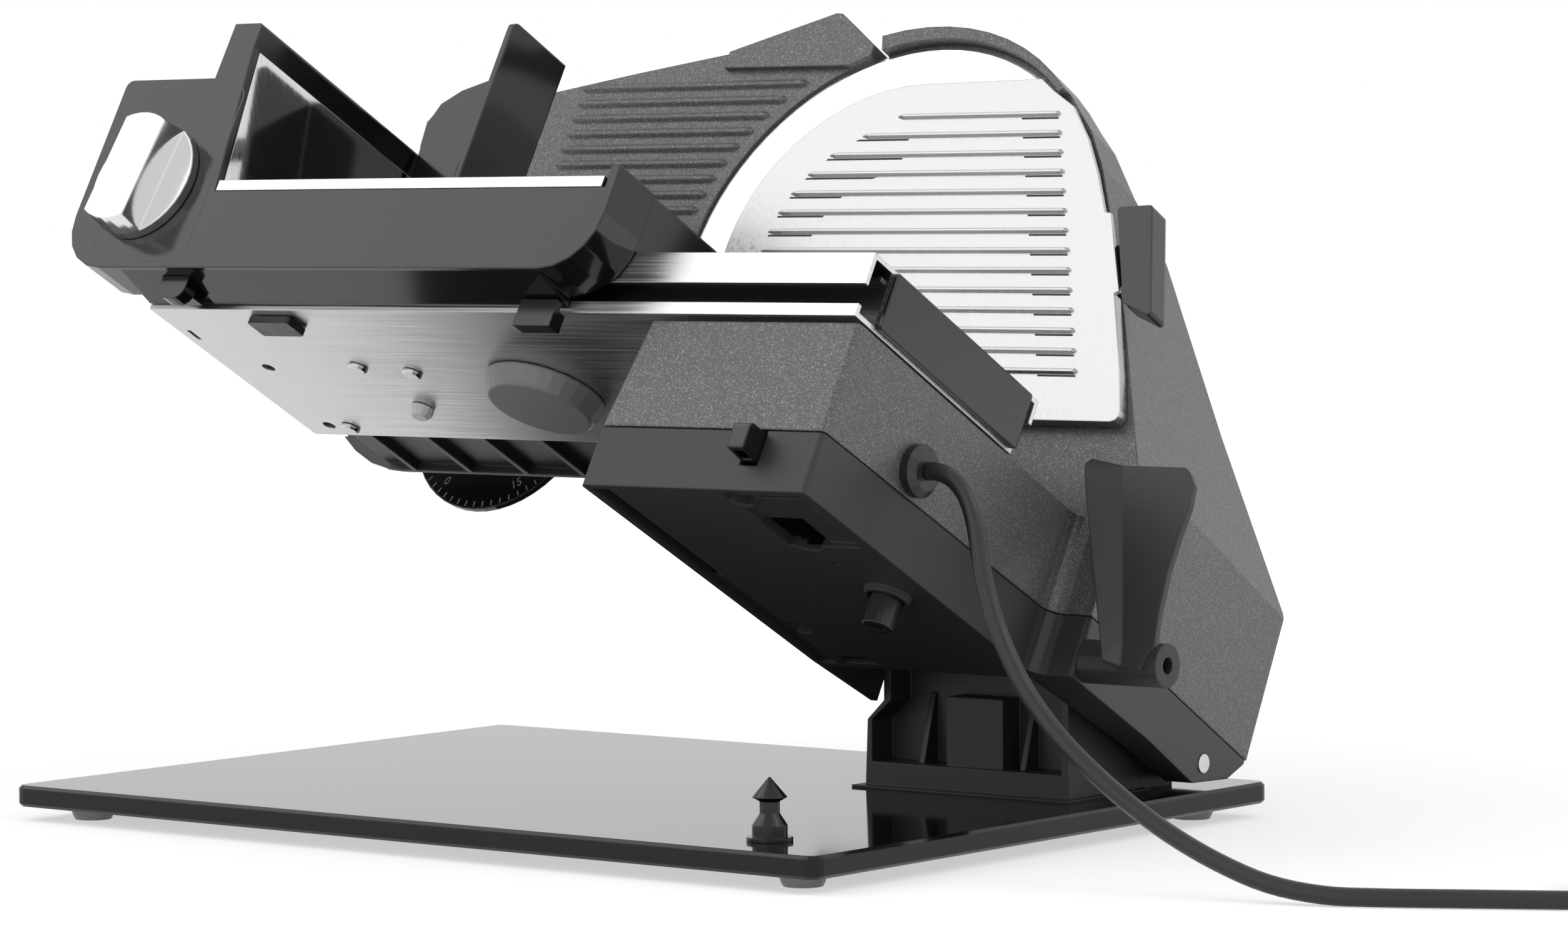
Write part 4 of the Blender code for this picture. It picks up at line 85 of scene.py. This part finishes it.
# Shader maths as expressions: a wire is a socket that takes + - * / with numbers or other wires
class Wire:
    def __init__(self, finish, socket):
        self.finish = finish
        self.socket = socket

    def maths(self, kind, first, second):
        return self.finish.node("ShaderNodeMath", {"operation": kind}, {0: first, 1: second})

    def __add__(self, other):
        return self.maths("ADD", self, other)

    def __radd__(self, other):
        return self.maths("ADD", other, self)

    def __sub__(self, other):
        return self.maths("SUBTRACT", self, other)

    def __rsub__(self, other):
        return self.maths("SUBTRACT", other, self)

    def __mul__(self, other):
        return self.maths("MULTIPLY", self, other)

    def __rmul__(self, other):
        return self.maths("MULTIPLY", other, self)

    def __truediv__(self, other):
        return self.maths("DIVIDE", self, other)

    def above(self, limit):
        return self.maths("GREATER_THAN", self, limit)


class Finish:
    def __init__(self, name, colour, roughness, metallic=0.0, **settings):
        self.material = bpy.data.materials.new(name)
        self.material.use_nodes = True
        self.tree = self.material.node_tree
        self.shader = self.tree.nodes["Principled BSDF"]
        self.set("Base Color", (*colour, 1))
        self.set("Roughness", roughness)
        self.set("Metallic", metallic)
        for socket, value in settings.items():
            self.set(socket.replace("_", " "), value)

    def feed(self, socket, value):
        if isinstance(value, Wire):
            self.tree.links.new(value.socket, socket)
        else:
            socket.default_value = value

    def set(self, name, value):
        self.feed(self.shader.inputs[name], value)

    def node(self, kind, settings=None, sockets=None, output=0):
        made = self.tree.nodes.new(kind)
        for name, value in (settings or {}).items():
            setattr(made, name, value)
        for name, value in (sockets or {}).items():
            self.feed(made.inputs[name], value)
        return Wire(self, made.outputs[output])

    def place(self, stretch=(1, 1, 1), turn=(0, 0, 0)):
        spot = self.node("ShaderNodeTexCoord", output=3)
        return self.node("ShaderNodeMapping", {"vector_type": "POINT"},
                         {"Vector": spot, "Scale": stretch, "Rotation": turn})

    def noise(self, vector, scale, detail):
        return self.node("ShaderNodeTexNoise", {"noise_dimensions": "3D"},
                         {"Vector": vector, "Scale": scale, "Detail": detail})

    def mix(self, share, first, second):
        made = self.tree.nodes.new("ShaderNodeMix")
        made.data_type = "RGBA"
        self.feed(made.inputs[0], share)
        self.feed(made.inputs[6], first if isinstance(first, Wire) else (*first, 1))
        self.feed(made.inputs[7], second if isinstance(second, Wire) else (*second, 1))
        return Wire(self, made.outputs[2])

    # How far a point lies from the hinge along one of the machine's own directions
    def along(self, spot, direction):
        start = machinePlace.translation.dot(direction)
        return self.node("ShaderNodeVectorMath", {"operation": "DOT_PRODUCT"},
                         {0: spot, 1: direction}, 1) - start

    def within(self, value, low, high):
        return value.above(low) * (1 - value.above(high))

    def span(self, value, low, high, toLow, toHigh):
        return self.node("ShaderNodeMapRange", {"clamp": True},
                         {"Value": value, "From Min": low, "From Max": high,
                          "To Min": toLow, "To Max": toHigh})

    def bump(self, height, depth, edge=0.0):
        sockets = {"Height": height, "Distance": depth, "Strength": 1.0}
        if edge:
            sockets["Normal"] = self.node("ShaderNodeBevel", {"samples": 4}, {"Radius": edge})
        self.set("Normal", self.node("ShaderNodeBump", {}, sockets))


# Finishes
def makeMetallicPaint():
    finish = Finish("metallicPaint", (0.036, 0.037, 0.039), 0.42, 0.2, Specular_IOR_Level=0.45)
    spot = finish.place()
    fleck = finish.node("ShaderNodeTexVoronoi", {"feature": "F1"}, {"Vector": spot, "Scale": 3600.0}, 1)
    shade = finish.node("ShaderNodeSeparateColor", {}, {"Color": fleck})
    glint = finish.span(shade, 0.78, 1.0, 0.0, 1.0)
    finish.set("Base Color", finish.mix(glint, (0.10, 0.102, 0.105), (0.34, 0.342, 0.346)))
    finish.set("Metallic", finish.span(shade, 0.6, 1.0, 0.1, 0.5))
    finish.set("Roughness", finish.span(shade, 0.0, 1.0, 0.36, 0.46))
    finish.bump(finish.noise(spot, 2600.0, 2.0), 0.00002, 0.0011)
    return finish.material


def makeGreyPlastic():
    finish = Finish("greyPlastic", (0.020, 0.0205, 0.022), 0.45, Specular_IOR_Level=0.42)
    spot = finish.place()
    grain = finish.noise(spot, 2400.0, 3.0)
    cloud = finish.noise(spot, 14.0, 3.0)
    finish.set("Base Color", finish.mix(cloud, (0.024, 0.0245, 0.026), (0.034, 0.0345, 0.036)))
    finish.set("Roughness", finish.span(grain, 0.3, 0.7, 0.40, 0.52))
    finish.bump(grain, 0.00003, 0.0009)
    return finish.material


def makeGlossPlastic(name, colour, roughness, edge, **settings):
    finish = Finish(name, colour, roughness, **settings)
    spot = finish.place()
    grain = finish.noise(spot, 2600.0, 2.0)
    cloud = finish.noise(spot, 11.0, 2.0)
    lighter = tuple(value * 1.15 for value in colour)
    finish.set("Base Color", finish.mix(cloud, colour, lighter))
    finish.set("Roughness", finish.span(grain, 0.3, 0.7, roughness * 0.94, roughness * 1.06))
    finish.bump(grain, 0.000004, edge)
    return finish.material


def makeBrushed(name, colour, low, high, stretch, turn, depth, edge):
    finish = Finish(name, colour, low, 1.0)
    spot = finish.place(stretch, turn)
    lines = finish.noise(spot, 900.0, 3.0)
    cloud = finish.noise(finish.place(), 9.0, 2.0)
    finish.set("Roughness", finish.span(lines * 0.6 + cloud * 0.4, 0.35, 0.65, low, high))
    darker = tuple(value * 0.86 for value in colour)
    finish.set("Base Color", finish.mix(finish.span(lines, 0.3, 0.7, 0.0, 1.0), darker, colour))
    finish.bump(lines, depth, edge)
    return finish.material


# Painted shade inside the rail's groove, its bounds given in the machine's own directions
grooveSizes = {"front": -0.2375, "back": -0.2285, "low": 0.0500, "high": 0.0695}


def makeAluminium():
    finish = Finish("aluminium", (0.80, 0.805, 0.81), 0.35, 1.0)
    spot = finish.node("ShaderNodeTexCoord", output=3)
    lines = finish.noise(finish.place((0.02, 1, 1)), 900.0, 3.0)
    shade = finish.mix(finish.span(lines, 0.3, 0.7, 0.0, 1.0), (0.56, 0.565, 0.57), (0.68, 0.685, 0.69))
    turned = machinePlace.to_3x3()
    sizes = grooveSizes
    deep = finish.within(finish.along(spot, turned.col[1]), sizes["front"], sizes["back"])
    paintedGrooveShade = deep * finish.within(finish.along(spot, turned.col[2]), sizes["low"], sizes["high"])
    # painted shade: the groove's inside is coloured near black and made barely metallic, standing in for
    # the shade that falls there
    finish.set("Base Color", finish.mix(paintedGrooveShade, shade, (0.02, 0.02, 0.022)))
    finish.set("Metallic", 1 - paintedGrooveShade * 0.9)
    finish.set("Roughness", finish.span(lines, 0.35, 0.65, 0.28, 0.42))
    finish.bump(lines, 0.000006, 0.0004)
    return finish.material


# The blade's centre, in the machine's own directions
bladeCentre = (0.2285, -0.101, 0.1482)

# The sheet over the blade: satin steel, with painted shade in dark bands below the ends of its louvres
coverSizes = {"top": 0.2020, "pitch": 0.0079, "count": 14, "louvreShadeLow": 0.74, "louvreShadeHigh": 0.84,
              "arc": 0.0500, "leftShadeReach": 0.020, "edge": 0.2922, "slope": 0.405,
              "rightInset": 0.001, "rightShadeReach": 0.017}


def makeCoverSteel():
    finish = Finish("coverSteel", (0.48, 0.48, 0.48), 0.3, 1.0)
    spot = finish.node("ShaderNodeTexCoord", output=3)
    sizes = coverSizes
    turned = machinePlace.to_3x3()
    across = finish.along(spot, turned.col[0])
    height = finish.along(spot, turned.col[2])
    # painted shade: a dark band under each louvre row, kept only near the louvre ends at the blade's arc
    # and at the right edge
    step = (height - sizes["top"]) / sizes["pitch"]
    row = finish.within(step.maths("FRACT", step, 0.0), sizes["louvreShadeLow"], sizes["louvreShadeHigh"])
    row = row * finish.within(step, -sizes["count"], 0.0)
    x = across - bladeCentre[0]
    z = (height - bladeCentre[2]).maths("MAXIMUM", height - bladeCentre[2], 0.0)
    reach = (x * x + z * z).maths("SQRT", x * x + z * z, 0.0)
    left = finish.within(reach, sizes["arc"] - sizes["leftShadeReach"], sizes["arc"]) * (1 - x.above(0.0))
    edge = sizes["edge"] + sizes["slope"] * (sizes["top"] - height) - across
    right = finish.within(edge, sizes["rightInset"], sizes["rightShadeReach"])
    louvreShade = row * left.maths("MAXIMUM", left, right)
    lines = finish.noise(finish.place((1, 1, 0.03), (tilt, 0, 0)), 900.0, 3.0)
    shade = finish.mix(finish.span(lines, 0.3, 0.7, 0.0, 1.0), (0.41, 0.41, 0.41), (0.48, 0.48, 0.48))
    # the near black colour here is painted shade under the louvres
    finish.set("Base Color", finish.mix(louvreShade, shade, (0.03, 0.03, 0.032)))
    finish.set("Roughness", finish.span(lines, 0.35, 0.65, 0.24, 0.38))
    finish.bump(lines, 0.000006, 0.0006)
    return finish.material


def makeBladeSteel():
    finish = Finish("bladeSteel", (0.80, 0.80, 0.80), 0.22, 1.0)
    middle = onMachine(*bladeCentre)
    spot = finish.node("ShaderNodeTexCoord", output=3)
    arm = finish.node("ShaderNodeVectorMath", {"operation": "SUBTRACT"}, {0: spot, 1: middle})
    radius = finish.node("ShaderNodeVectorMath", {"operation": "LENGTH"}, {0: arm}, 1)
    ring = finish.node("ShaderNodeTexNoise", {"noise_dimensions": "1D"},
                       {"W": radius, "Scale": 3500.0, "Detail": 2.0})
    finish.set("Roughness", finish.span(ring, 0.3, 0.7, 0.16, 0.30))
    finish.set("Base Color", finish.mix(ring, (0.72, 0.72, 0.72), (0.86, 0.86, 0.86)))
    finish.bump(ring, 0.000006)
    return finish.material


def makeBlackGlass():
    finish = Finish("blackGlass", (0.004, 0.004, 0.0045), 0.06, Specular_IOR_Level=0.28)
    spot = finish.place()
    haze = finish.noise(spot, 6.0, 3.0)
    finish.set("Roughness", finish.span(haze, 0.3, 0.7, 0.05, 0.09))
    finish.set("Base Color", finish.mix(haze, (0.005, 0.005, 0.0055), (0.008, 0.008, 0.0085)))
    finish.bump(haze, 0.00001, 0.0006)
    return finish.material


def makeRubber(name, colour, low, high):
    finish = Finish(name, colour, low)
    spot = finish.place()
    cloud = finish.noise(spot, 160.0, 3.0)
    finish.set("Roughness", finish.span(cloud, 0.3, 0.7, low, high))
    lighter = tuple(value * 1.3 for value in colour)
    finish.set("Base Color", finish.mix(cloud, colour, lighter))
    finish.bump(cloud, 0.00002, 0.0004)
    return finish.material


def makeFootRubber():
    finish = Finish("footRubber", (0.78, 0.78, 0.77), 0.35, Transmission_Weight=0.35, IOR=1.45)
    cloud = finish.noise(finish.place(), 90.0, 2.0)
    finish.set("Roughness", finish.span(cloud, 0.3, 0.7, 0.28, 0.42))
    finish.set("Base Color", finish.mix(cloud, (0.72, 0.72, 0.71), (0.82, 0.82, 0.81)))
    finish.bump(cloud, 0.00002, 0.0005)
    return finish.material


finishes = {
    "metallicPaint": makeMetallicPaint(),
    "greyPlastic": makeGreyPlastic(),
    "carriagePlastic": makeGlossPlastic("carriagePlastic", (0.009, 0.0092, 0.010), 0.12, 0.0011,
                                        Specular_IOR_Level=0.45),
    "blackPlastic": makeGlossPlastic("blackPlastic", (0.006, 0.006, 0.0065), 0.2, 0.0006,
                                     Specular_IOR_Level=0.4),
    "knobSilver": makeGlossPlastic("knobSilver", (0.70, 0.70, 0.71), 0.13, 0.0010, Metallic=1.0),
    "capPlastic": makeGlossPlastic("capPlastic", (0.22, 0.222, 0.225), 0.42, 0.0012),
    "whitePlastic": makeGlossPlastic("whitePlastic", (0.72, 0.72, 0.70), 0.3, 0.0005),
    "nylon": makeGlossPlastic("nylon", (0.62, 0.60, 0.54), 0.4, 0.0003),
    "blackGlass": makeBlackGlass(),
    "blackRubber": makeRubber("blackRubber", (0.012, 0.012, 0.013), 0.32, 0.45),
    "footRubber": makeFootRubber(),
    "aluminium": makeAluminium(),
    "coverSteel": makeCoverSteel(),
    "traySteel": makeBrushed("traySteel", (0.58, 0.58, 0.59), 0.10, 0.2, (0.03, 1, 1), (0, 0, 0),
                             0.000003, 0.0003),
    "mirrorSteel": makeBrushed("mirrorSteel", (0.72, 0.73, 0.74), 0.04, 0.08, (1, 1, 0.05), (0, 0, 0),
                               0.0000005, 0.0002),
    "turnedSteel": makeBrushed("turnedSteel", (0.62, 0.62, 0.63), 0.2, 0.36, (1, 1, 1), (0, 0, 0),
                               0.000006, 0.0002),
    "bladeSteel": makeBladeSteel(),
    "markInk": makeGlossPlastic("markInk", (0.075, 0.075, 0.078), 0.5, 0.0),
    "dialInk": makeGlossPlastic("dialInk", (0.42, 0.42, 0.42), 0.5, 0.0),
}
print("finishes made:", len(finishes))

nodeFinishes = {
    "metallicPaint": ("upper_housing", "stop_plate"),
    "greyPlastic": ("lower_housing", "hinge_bracket", "drive_shell", "side_lever"),
    "carriagePlastic": ("carriage_body", "pusher", "rail_cap_left", "rail_cap_right", "release_button",
                        "cover_latch", "thickness_dial"),
    "blackPlastic": ("carriage_brake", "travel_hook", "latch_stud"),
    "knobSilver": ("lock_knob",),
    "capPlastic": ("round_cover",),
    "whitePlastic": ("locating_peg",),
    "nylon": ("blade_gear",),
    "blackGlass": ("base_plate",),
    "blackRubber": ("cable_gland", "lift_plunger", "rubber_stop", "mains_plug"),
    "footRubber": ("foot_front_left", "foot_front_right", "foot_back_left", "foot_back_right"),
    "aluminium": ("rail_platform",),
    "coverSteel": ("cover_plate",),
    "traySteel": ("carriage_tray",),
    "mirrorSteel": ("mirror_insert",),
    "turnedSteel": ("hinge_pin_left", "hinge_pin_right", "guide_rod_lower", "guide_rod_upper",
                    "housing_screw_front", "housing_screw_back",
                    "platform_screw_front_left", "platform_screw_front_right", "platform_screw_back",
                    "blade_axle", "motor", "motor_pinion"),
    "bladeSteel": ("blade",),
}


sharpAngle = 30


def dressNodes():
    for finish, names in nodeFinishes.items():
        for name in names:
            nodes[name].data.materials.clear()
            nodes[name].data.materials.append(finishes[finish])
            nodes[name].data.shade_smooth()
            nodes[name].data.set_sharp_from_angle(angle=math.radians(sharpAngle))


dressNodes()
print("nodes dressed")


# Mains cord: the route is the part's own, in metres from the plate's corner
cordSizes = {"radius": 0.0030, "sides": 16, "exit": (0.3546, 0.0691, 0.1179),
             "heading": 29.5, "runIn": 0.060, "straight": 0.012, "coilRadius": 0.0398,
             "pitch": 0.0068, "rise": 0.0066, "layerTurns": 2, "turnPoints": 48, "tail": 0.036,
             "tailStraight": 0.008, "tailPoints": 8, "plugThickness": 0.0137}
cordRoute = [(0.3546, 0.0691, 0.1179), (0.3576, 0.0691, 0.1179), (0.3640, 0.0691, 0.1157),
             (0.3694, 0.0691, 0.1100), (0.3728, 0.0691, 0.1010), (0.3750, 0.0691, 0.0890),
             (0.3786, 0.0691, 0.0760), (0.3840, 0.0691, 0.0630), (0.3920, 0.0691, 0.0495),
             (0.4035, 0.0691, 0.0365), (0.4160, 0.0691, 0.0260), (0.4305, 0.0691, 0.0160),
             (0.4470, 0.0691, 0.0067), (0.4650, 0.0692, -0.0010), (0.4830, 0.0702, -0.0066),
             (0.5000, 0.0742, -0.0092), (0.5150, 0.0808, -0.0096), (0.5350, 0.0918, -0.0096),
             (0.5530, 0.1020, -0.0096)]


def smoothRoute(points, steps):
    known = [Vector(point) for point in points]
    known = [2 * known[0] - known[1]] + known + [2 * known[-1] - known[-2]]
    route = []
    for before, start, end, after in zip(known, known[1:], known[2:], known[3:]):
        for step in range(steps):
            t = step / steps
            bend = 2 * before - 5 * start + 4 * end - after
            twist = 3 * start - before - 3 * end + after
            route.append(0.5 * (2 * start + (end - before) * t + bend * t ** 2 + twist * t ** 3))
    return route + [known[-2]]


def coilPath(sizes, heading, inward):
    entry = Vector(cordRoute[-1]) + heading * sizes["runIn"]
    centre = entry + inward * sizes["coilRadius"]
    turns = sizes["layerTurns"]
    points = []
    for step in range(2 * turns * sizes["turnPoints"] + 1):
        along = step / sizes["turnPoints"]
        radius = sizes["coilRadius"] - sizes["pitch"] * (turns - abs(along - turns))
        climb = min(max((along - turns) * 2 + 0.5, 0), 1)
        angle = 2 * math.pi * along
        outward = heading * math.sin(angle) - inward * math.cos(angle)
        points.append(centre + outward * radius + Vector((0, 0, sizes["rise"] * climb)))
    quarter = sizes["turnPoints"] // 4
    for step in range(1, quarter + 1):
        angle = math.pi / 2 * step / quarter
        outward = heading * math.sin(angle) - inward * math.cos(angle)
        points.append(centre + outward * (sizes["coilRadius"] + sizes["pitch"] * step / quarter)
                      + Vector((0, 0, sizes["rise"])))
    corner = points[-1]
    drop = corner.z - (sizes["plugThickness"] / 2 - plateHeight)
    slope = sizes["tail"] - sizes["tailStraight"]
    for step in range(1, sizes["tailPoints"] + 1):
        share = step / sizes["tailPoints"]
        eased = drop * share * share * (3 - 2 * share)
        points.append(corner + inward * slope * share - Vector((0, 0, eased)))
    return points + [points[-1] + inward * sizes["tailStraight"]]


def tubeAlong(name, points, radius, sides):
    shape = bmesh.new()
    side = Vector((0, 1, 0))
    rings = []
    for number, point in enumerate(points):
        along = (points[min(number + 1, len(points) - 1)] - points[max(number - 1, 0)]).normalized()
        side = (side - along * side.dot(along)).normalized()
        other = along.cross(side)
        rings.append([shape.verts.new(point + radius * (math.cos(angle) * side + math.sin(angle) * other))
                      for angle in (2 * math.pi * k / sides for k in range(sides))])
    for first, second in zip(rings, rings[1:]):
        for k in range(sides):
            n = (k + 1) % sides
            shape.faces.new((first[k], first[n], second[n], second[k]))
    shape.faces.new(list(reversed(rings[0])))
    shape.faces.new(rings[-1])
    bmesh.ops.recalc_face_normals(shape, faces=shape.faces)
    return meshPiece(name, shape)


def meshPiece(name, shape, finish=None):
    mesh = bpy.data.meshes.new(name)
    shape.to_mesh(mesh)
    shape.free()
    mesh.shade_smooth()
    mesh.set_sharp_from_angle(angle=math.radians(sharpAngle))
    if finish:
        mesh.materials.append(finishes[finish])
    piece = bpy.data.objects.new(name, mesh)
    bpy.context.scene.collection.objects.link(piece)
    return piece


def makeCord():
    sizes = cordSizes
    angle = math.radians(sizes["heading"])
    heading = Vector((math.cos(angle), math.sin(angle), 0))
    inward = Vector((-heading.y, heading.x, 0))
    end = Vector(cordRoute[-1]) + heading * (sizes["runIn"] - sizes["straight"])
    lead = smoothRoute(cordRoute + [end - heading * sizes["runIn"] / 3, end], 4)
    path = [plateCorner + point for point in lead + coilPath(sizes, heading, inward)]
    length = sum((second - first).length for first, second in zip(path, path[1:]))
    cord = tubeAlong("mainsCord", path, sizes["radius"], sizes["sides"])
    cord.data.materials.append(finishes["blackRubber"])
    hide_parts("cord_lead", "cord_coil")
    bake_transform(cord)
    print("cord made, metres:", round(length, 3))


makeCord()


# Printed numbers and tick marks, a hair proud of the face they are printed on
markSizes = {"proud": 0.00004, "thickness": 0.00003, "panelFront": -0.2610}
dialSizes = {"centre": (0.0345, -0.0527, 0.1037), "numberRadius": 0.0352, "numberSize": 0.0052,
             "numbers": 16, "step": 20.0, "first": -120.0, "tickRadius": 0.0398,
             "tickLength": 0.0022, "tickWidth": 0.0005, "ticks": 60}
knobMarks = {"0": (0.0303, 0.1180), "1": (0.0592, 0.0919)}
knobMarkSize = 0.0062


def textPiece(name, words, size, place, finish):
    data = bpy.data.curves.new(name, "FONT")
    data.body = words
    data.size = size
    data.align_x = "CENTER"
    data.align_y = "CENTER"
    data.resolution_u = 3
    data.extrude = markSizes["thickness"] / 2
    words = bpy.data.objects.new(name, data)
    bpy.context.scene.collection.objects.link(words)
    graph = bpy.context.evaluated_depsgraph_get()
    mesh = bpy.data.meshes.new_from_object(words.evaluated_get(graph))
    bpy.data.objects.remove(words)
    mesh.transform(place)
    mesh.materials.clear()
    mesh.materials.append(finishes[finish])
    piece = bpy.data.objects.new(name, mesh)
    bpy.context.scene.collection.objects.link(piece)
    return piece


def joined(name, pieces):
    shape = bmesh.new()
    for piece in pieces:
        shape.from_mesh(piece.data)
    finish = pieces[0].data.materials[0]
    for piece in pieces:
        bpy.data.objects.remove(piece)
    made = meshPiece(name, shape)
    made.data.materials.append(finish)
    return made


def facing(x, y, z, turn=0.0):
    upright = Matrix.Rotation(math.pi / 2, 4, "X")
    return machinePlace @ Matrix.Translation((x, y, z)) @ Matrix.Rotation(turn, 4, "Y") @ upright


def makeKnobMarks():
    face = markSizes["panelFront"] - markSizes["proud"]
    marks = [textPiece("mark" + words, words, knobMarkSize, facing(x, face, z), "markInk")
             for words, (x, z) in knobMarks.items()]
    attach(joined("knobMarks", marks), "carriage")


# A thin line round the knob's field, its corners rounded
fieldSizes = {"left": 0.0155, "right": 0.0625, "low": 0.0562, "high": 0.1275, "round": 0.006,
              "steps": 6, "width": 0.0005}


def makeFieldLine():
    sizes = fieldSizes
    face = markSizes["panelFront"] - markSizes["proud"]
    shape = bmesh.new()
    loops = []
    for inset in (0.0, sizes["width"]):
        loop = []
        for corner, start in enumerate((180, 270, 0, 90)):
            x = sizes["left"] + sizes["round"] if corner in (0, 3) else sizes["right"] - sizes["round"]
            z = sizes["low"] + sizes["round"] if corner in (0, 1) else sizes["high"] - sizes["round"]
            for k in range(sizes["steps"] + 1):
                angle = math.radians(start + 90 / sizes["steps"] * k)
                radius = sizes["round"] - inset
                place = onMachine(x + radius * math.cos(angle), face, z + radius * math.sin(angle))
                loop.append(shape.verts.new(place))
        loops.append(loop)
    count = len(loops[0])
    for k in range(count):
        after = (k + 1) % count
        shape.faces.new((loops[0][k], loops[0][after], loops[1][after], loops[1][k]))
    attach(meshPiece("fieldLine", shape, "markInk"), "carriage")


def makeDialNumbers():
    x, y, z = dialSizes["centre"]
    marks = []
    for k in range(dialSizes["numbers"]):
        angle = math.radians(dialSizes["first"] - dialSizes["step"] * k)
        radius = dialSizes["numberRadius"]
        place = facing(x + radius * math.cos(angle), y - markSizes["proud"], z + radius * math.sin(angle),
                       -angle - math.pi / 2)
        marks.append(textPiece("number" + str(k), str(k), dialSizes["numberSize"], place, "dialInk"))
    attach(joined("dialNumbers", marks), "dial")


# A ring of one small shape, by Geometry Nodes: points on a circle, the shape on each, made real
def ringOf(name, count, radius, shape, finish, place):
    group = bpy.data.node_groups.new(name, "GeometryNodeTree")
    group.interface.new_socket("Geometry", in_out="OUTPUT", socket_type="NodeSocketGeometry")
    make = group.nodes.new
    link = group.links.new
    circle = make("GeometryNodeMeshCircle")
    circle.inputs["Vertices"].default_value = count
    circle.inputs["Radius"].default_value = radius
    box = make("GeometryNodeMeshCube")
    box.inputs["Size"].default_value = shape
    aim = make("FunctionNodeAlignRotationToVector")
    aim.axis = "X"
    aim.pivot_axis = "Z"
    spot = make("GeometryNodeInputPosition")
    spread = make("GeometryNodeInstanceOnPoints")
    real = make("GeometryNodeRealizeInstances")
    dress = make("GeometryNodeSetMaterial")
    dress.inputs["Material"].default_value = finishes[finish]
    out = make("NodeGroupOutput")
    link(spot.outputs[0], aim.inputs["Vector"])
    link(circle.outputs[0], spread.inputs["Points"])
    link(box.outputs["Mesh"], spread.inputs["Instance"])
    link(aim.outputs[0], spread.inputs["Rotation"])
    link(spread.outputs[0], real.inputs[0])
    link(real.outputs[0], dress.inputs["Geometry"])
    link(dress.outputs[0], out.inputs[0])
    carrier = meshPiece(name, bmesh.new())
    step = carrier.modifiers.new("ring", "NODES")
    step.node_group = group
    graph = bpy.context.evaluated_depsgraph_get()
    mesh = bpy.data.meshes.new_from_object(carrier.evaluated_get(graph))
    carrier.modifiers.clear()
    mesh.transform(place)
    carrier.data = mesh
    return carrier


def makeDialTicks():
    x, y, z = dialSizes["centre"]
    shape = (dialSizes["tickLength"], dialSizes["tickWidth"], markSizes["thickness"])
    ticks = ringOf("dialTicks", dialSizes["ticks"], dialSizes["tickRadius"], shape, "dialInk",
                   facing(x, y - markSizes["proud"], z))
    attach(ticks, "dial")


makeKnobMarks()
makeFieldLine()
makeDialNumbers()
makeDialTicks()
print("marks made")


# Floor, backdrop and lamps
studio = {"floor": 9.0, "floorShade": 0.80, "worldShade": 0.42, "nearGlow": 0.35, "farGlow": 1.1,
          "nearShade": 0.55, "aim": 0.12}
lamps = {
    "upperLeft": {"place": (-1.3, -1.0, 1.7), "size": 1.8, "watts": 12},
    "upperRight": {"place": (1.6, 0.2, 1.3), "size": 1.2, "watts": 6},
    "lowFront": {"place": (0.1, -1.9, 0.5), "size": 1.6, "watts": 4},
}


def seenWhite(finish):
    path = finish.tree.nodes.new("ShaderNodeLightPath")
    camera, glossy, clear = (Wire(finish, path.outputs["Is " + kind + " Ray"])
                             for kind in ("Camera", "Glossy", "Transmission"))
    return camera.maths("MAXIMUM", camera, glossy.maths("MAXIMUM", glossy, clear))


def makeStage():
    shape = bmesh.new()
    bmesh.ops.create_grid(shape, x_segments=1, y_segments=1, size=studio["floor"])
    floor = meshPiece("studioFloor", shape)
    shade = studio["floorShade"]
    finish = Finish("studioFloor", (shade, shade, shade), 0.9, Specular_IOR_Level=0.0)
    away = finish.node("ShaderNodeVectorMath", {"operation": "LENGTH"}, {0: finish.place()}, 1)
    glow = finish.span(away, studio["nearGlow"], studio["farGlow"], studio["nearShade"], 1.0)
    finish.set("Emission Color", finish.mix(glow, (0, 0, 0), (1, 1, 1)))
    finish.set("Emission Strength", seenWhite(finish))
    floor.data.materials.append(finish.material)
    world = bpy.data.worlds.new("studio")
    world.use_nodes = True
    tree = world.node_tree
    back = tree.nodes["Background"]
    path = tree.nodes.new("ShaderNodeLightPath")
    seen = tree.nodes.new("ShaderNodeMath")
    seen.operation = "MAXIMUM"
    tree.links.new(path.outputs["Is Camera Ray"], seen.inputs[0])
    tree.links.new(path.outputs["Is Glossy Ray"], seen.inputs[1])
    strength = tree.nodes.new("ShaderNodeMapRange")
    strength.inputs["To Min"].default_value = studio["worldShade"]
    strength.inputs["To Max"].default_value = 1.0
    tree.links.new(seen.outputs[0], strength.inputs["Value"])
    tree.links.new(strength.outputs[0], back.inputs["Strength"])
    back.inputs["Color"].default_value = (1, 1, 1, 1)
    bpy.context.scene.world = world


def makeLamps():
    for name, sizes in lamps.items():
        data = bpy.data.lights.new(name, "AREA")
        data.size = sizes["size"]
        data.energy = sizes["watts"]
        lamp = bpy.data.objects.new(name, data)
        bpy.context.scene.collection.objects.link(lamp)
        lamp.location = sizes["place"]
        away = Vector(sizes["place"]) - Vector((0, 0, studio["aim"]))
        lamp.rotation_euler = away.to_track_quat("Z", "Y").to_euler()


makeStage()
makeLamps()
bpy.context.scene.view_settings.view_transform = "Standard"
print("studio made")
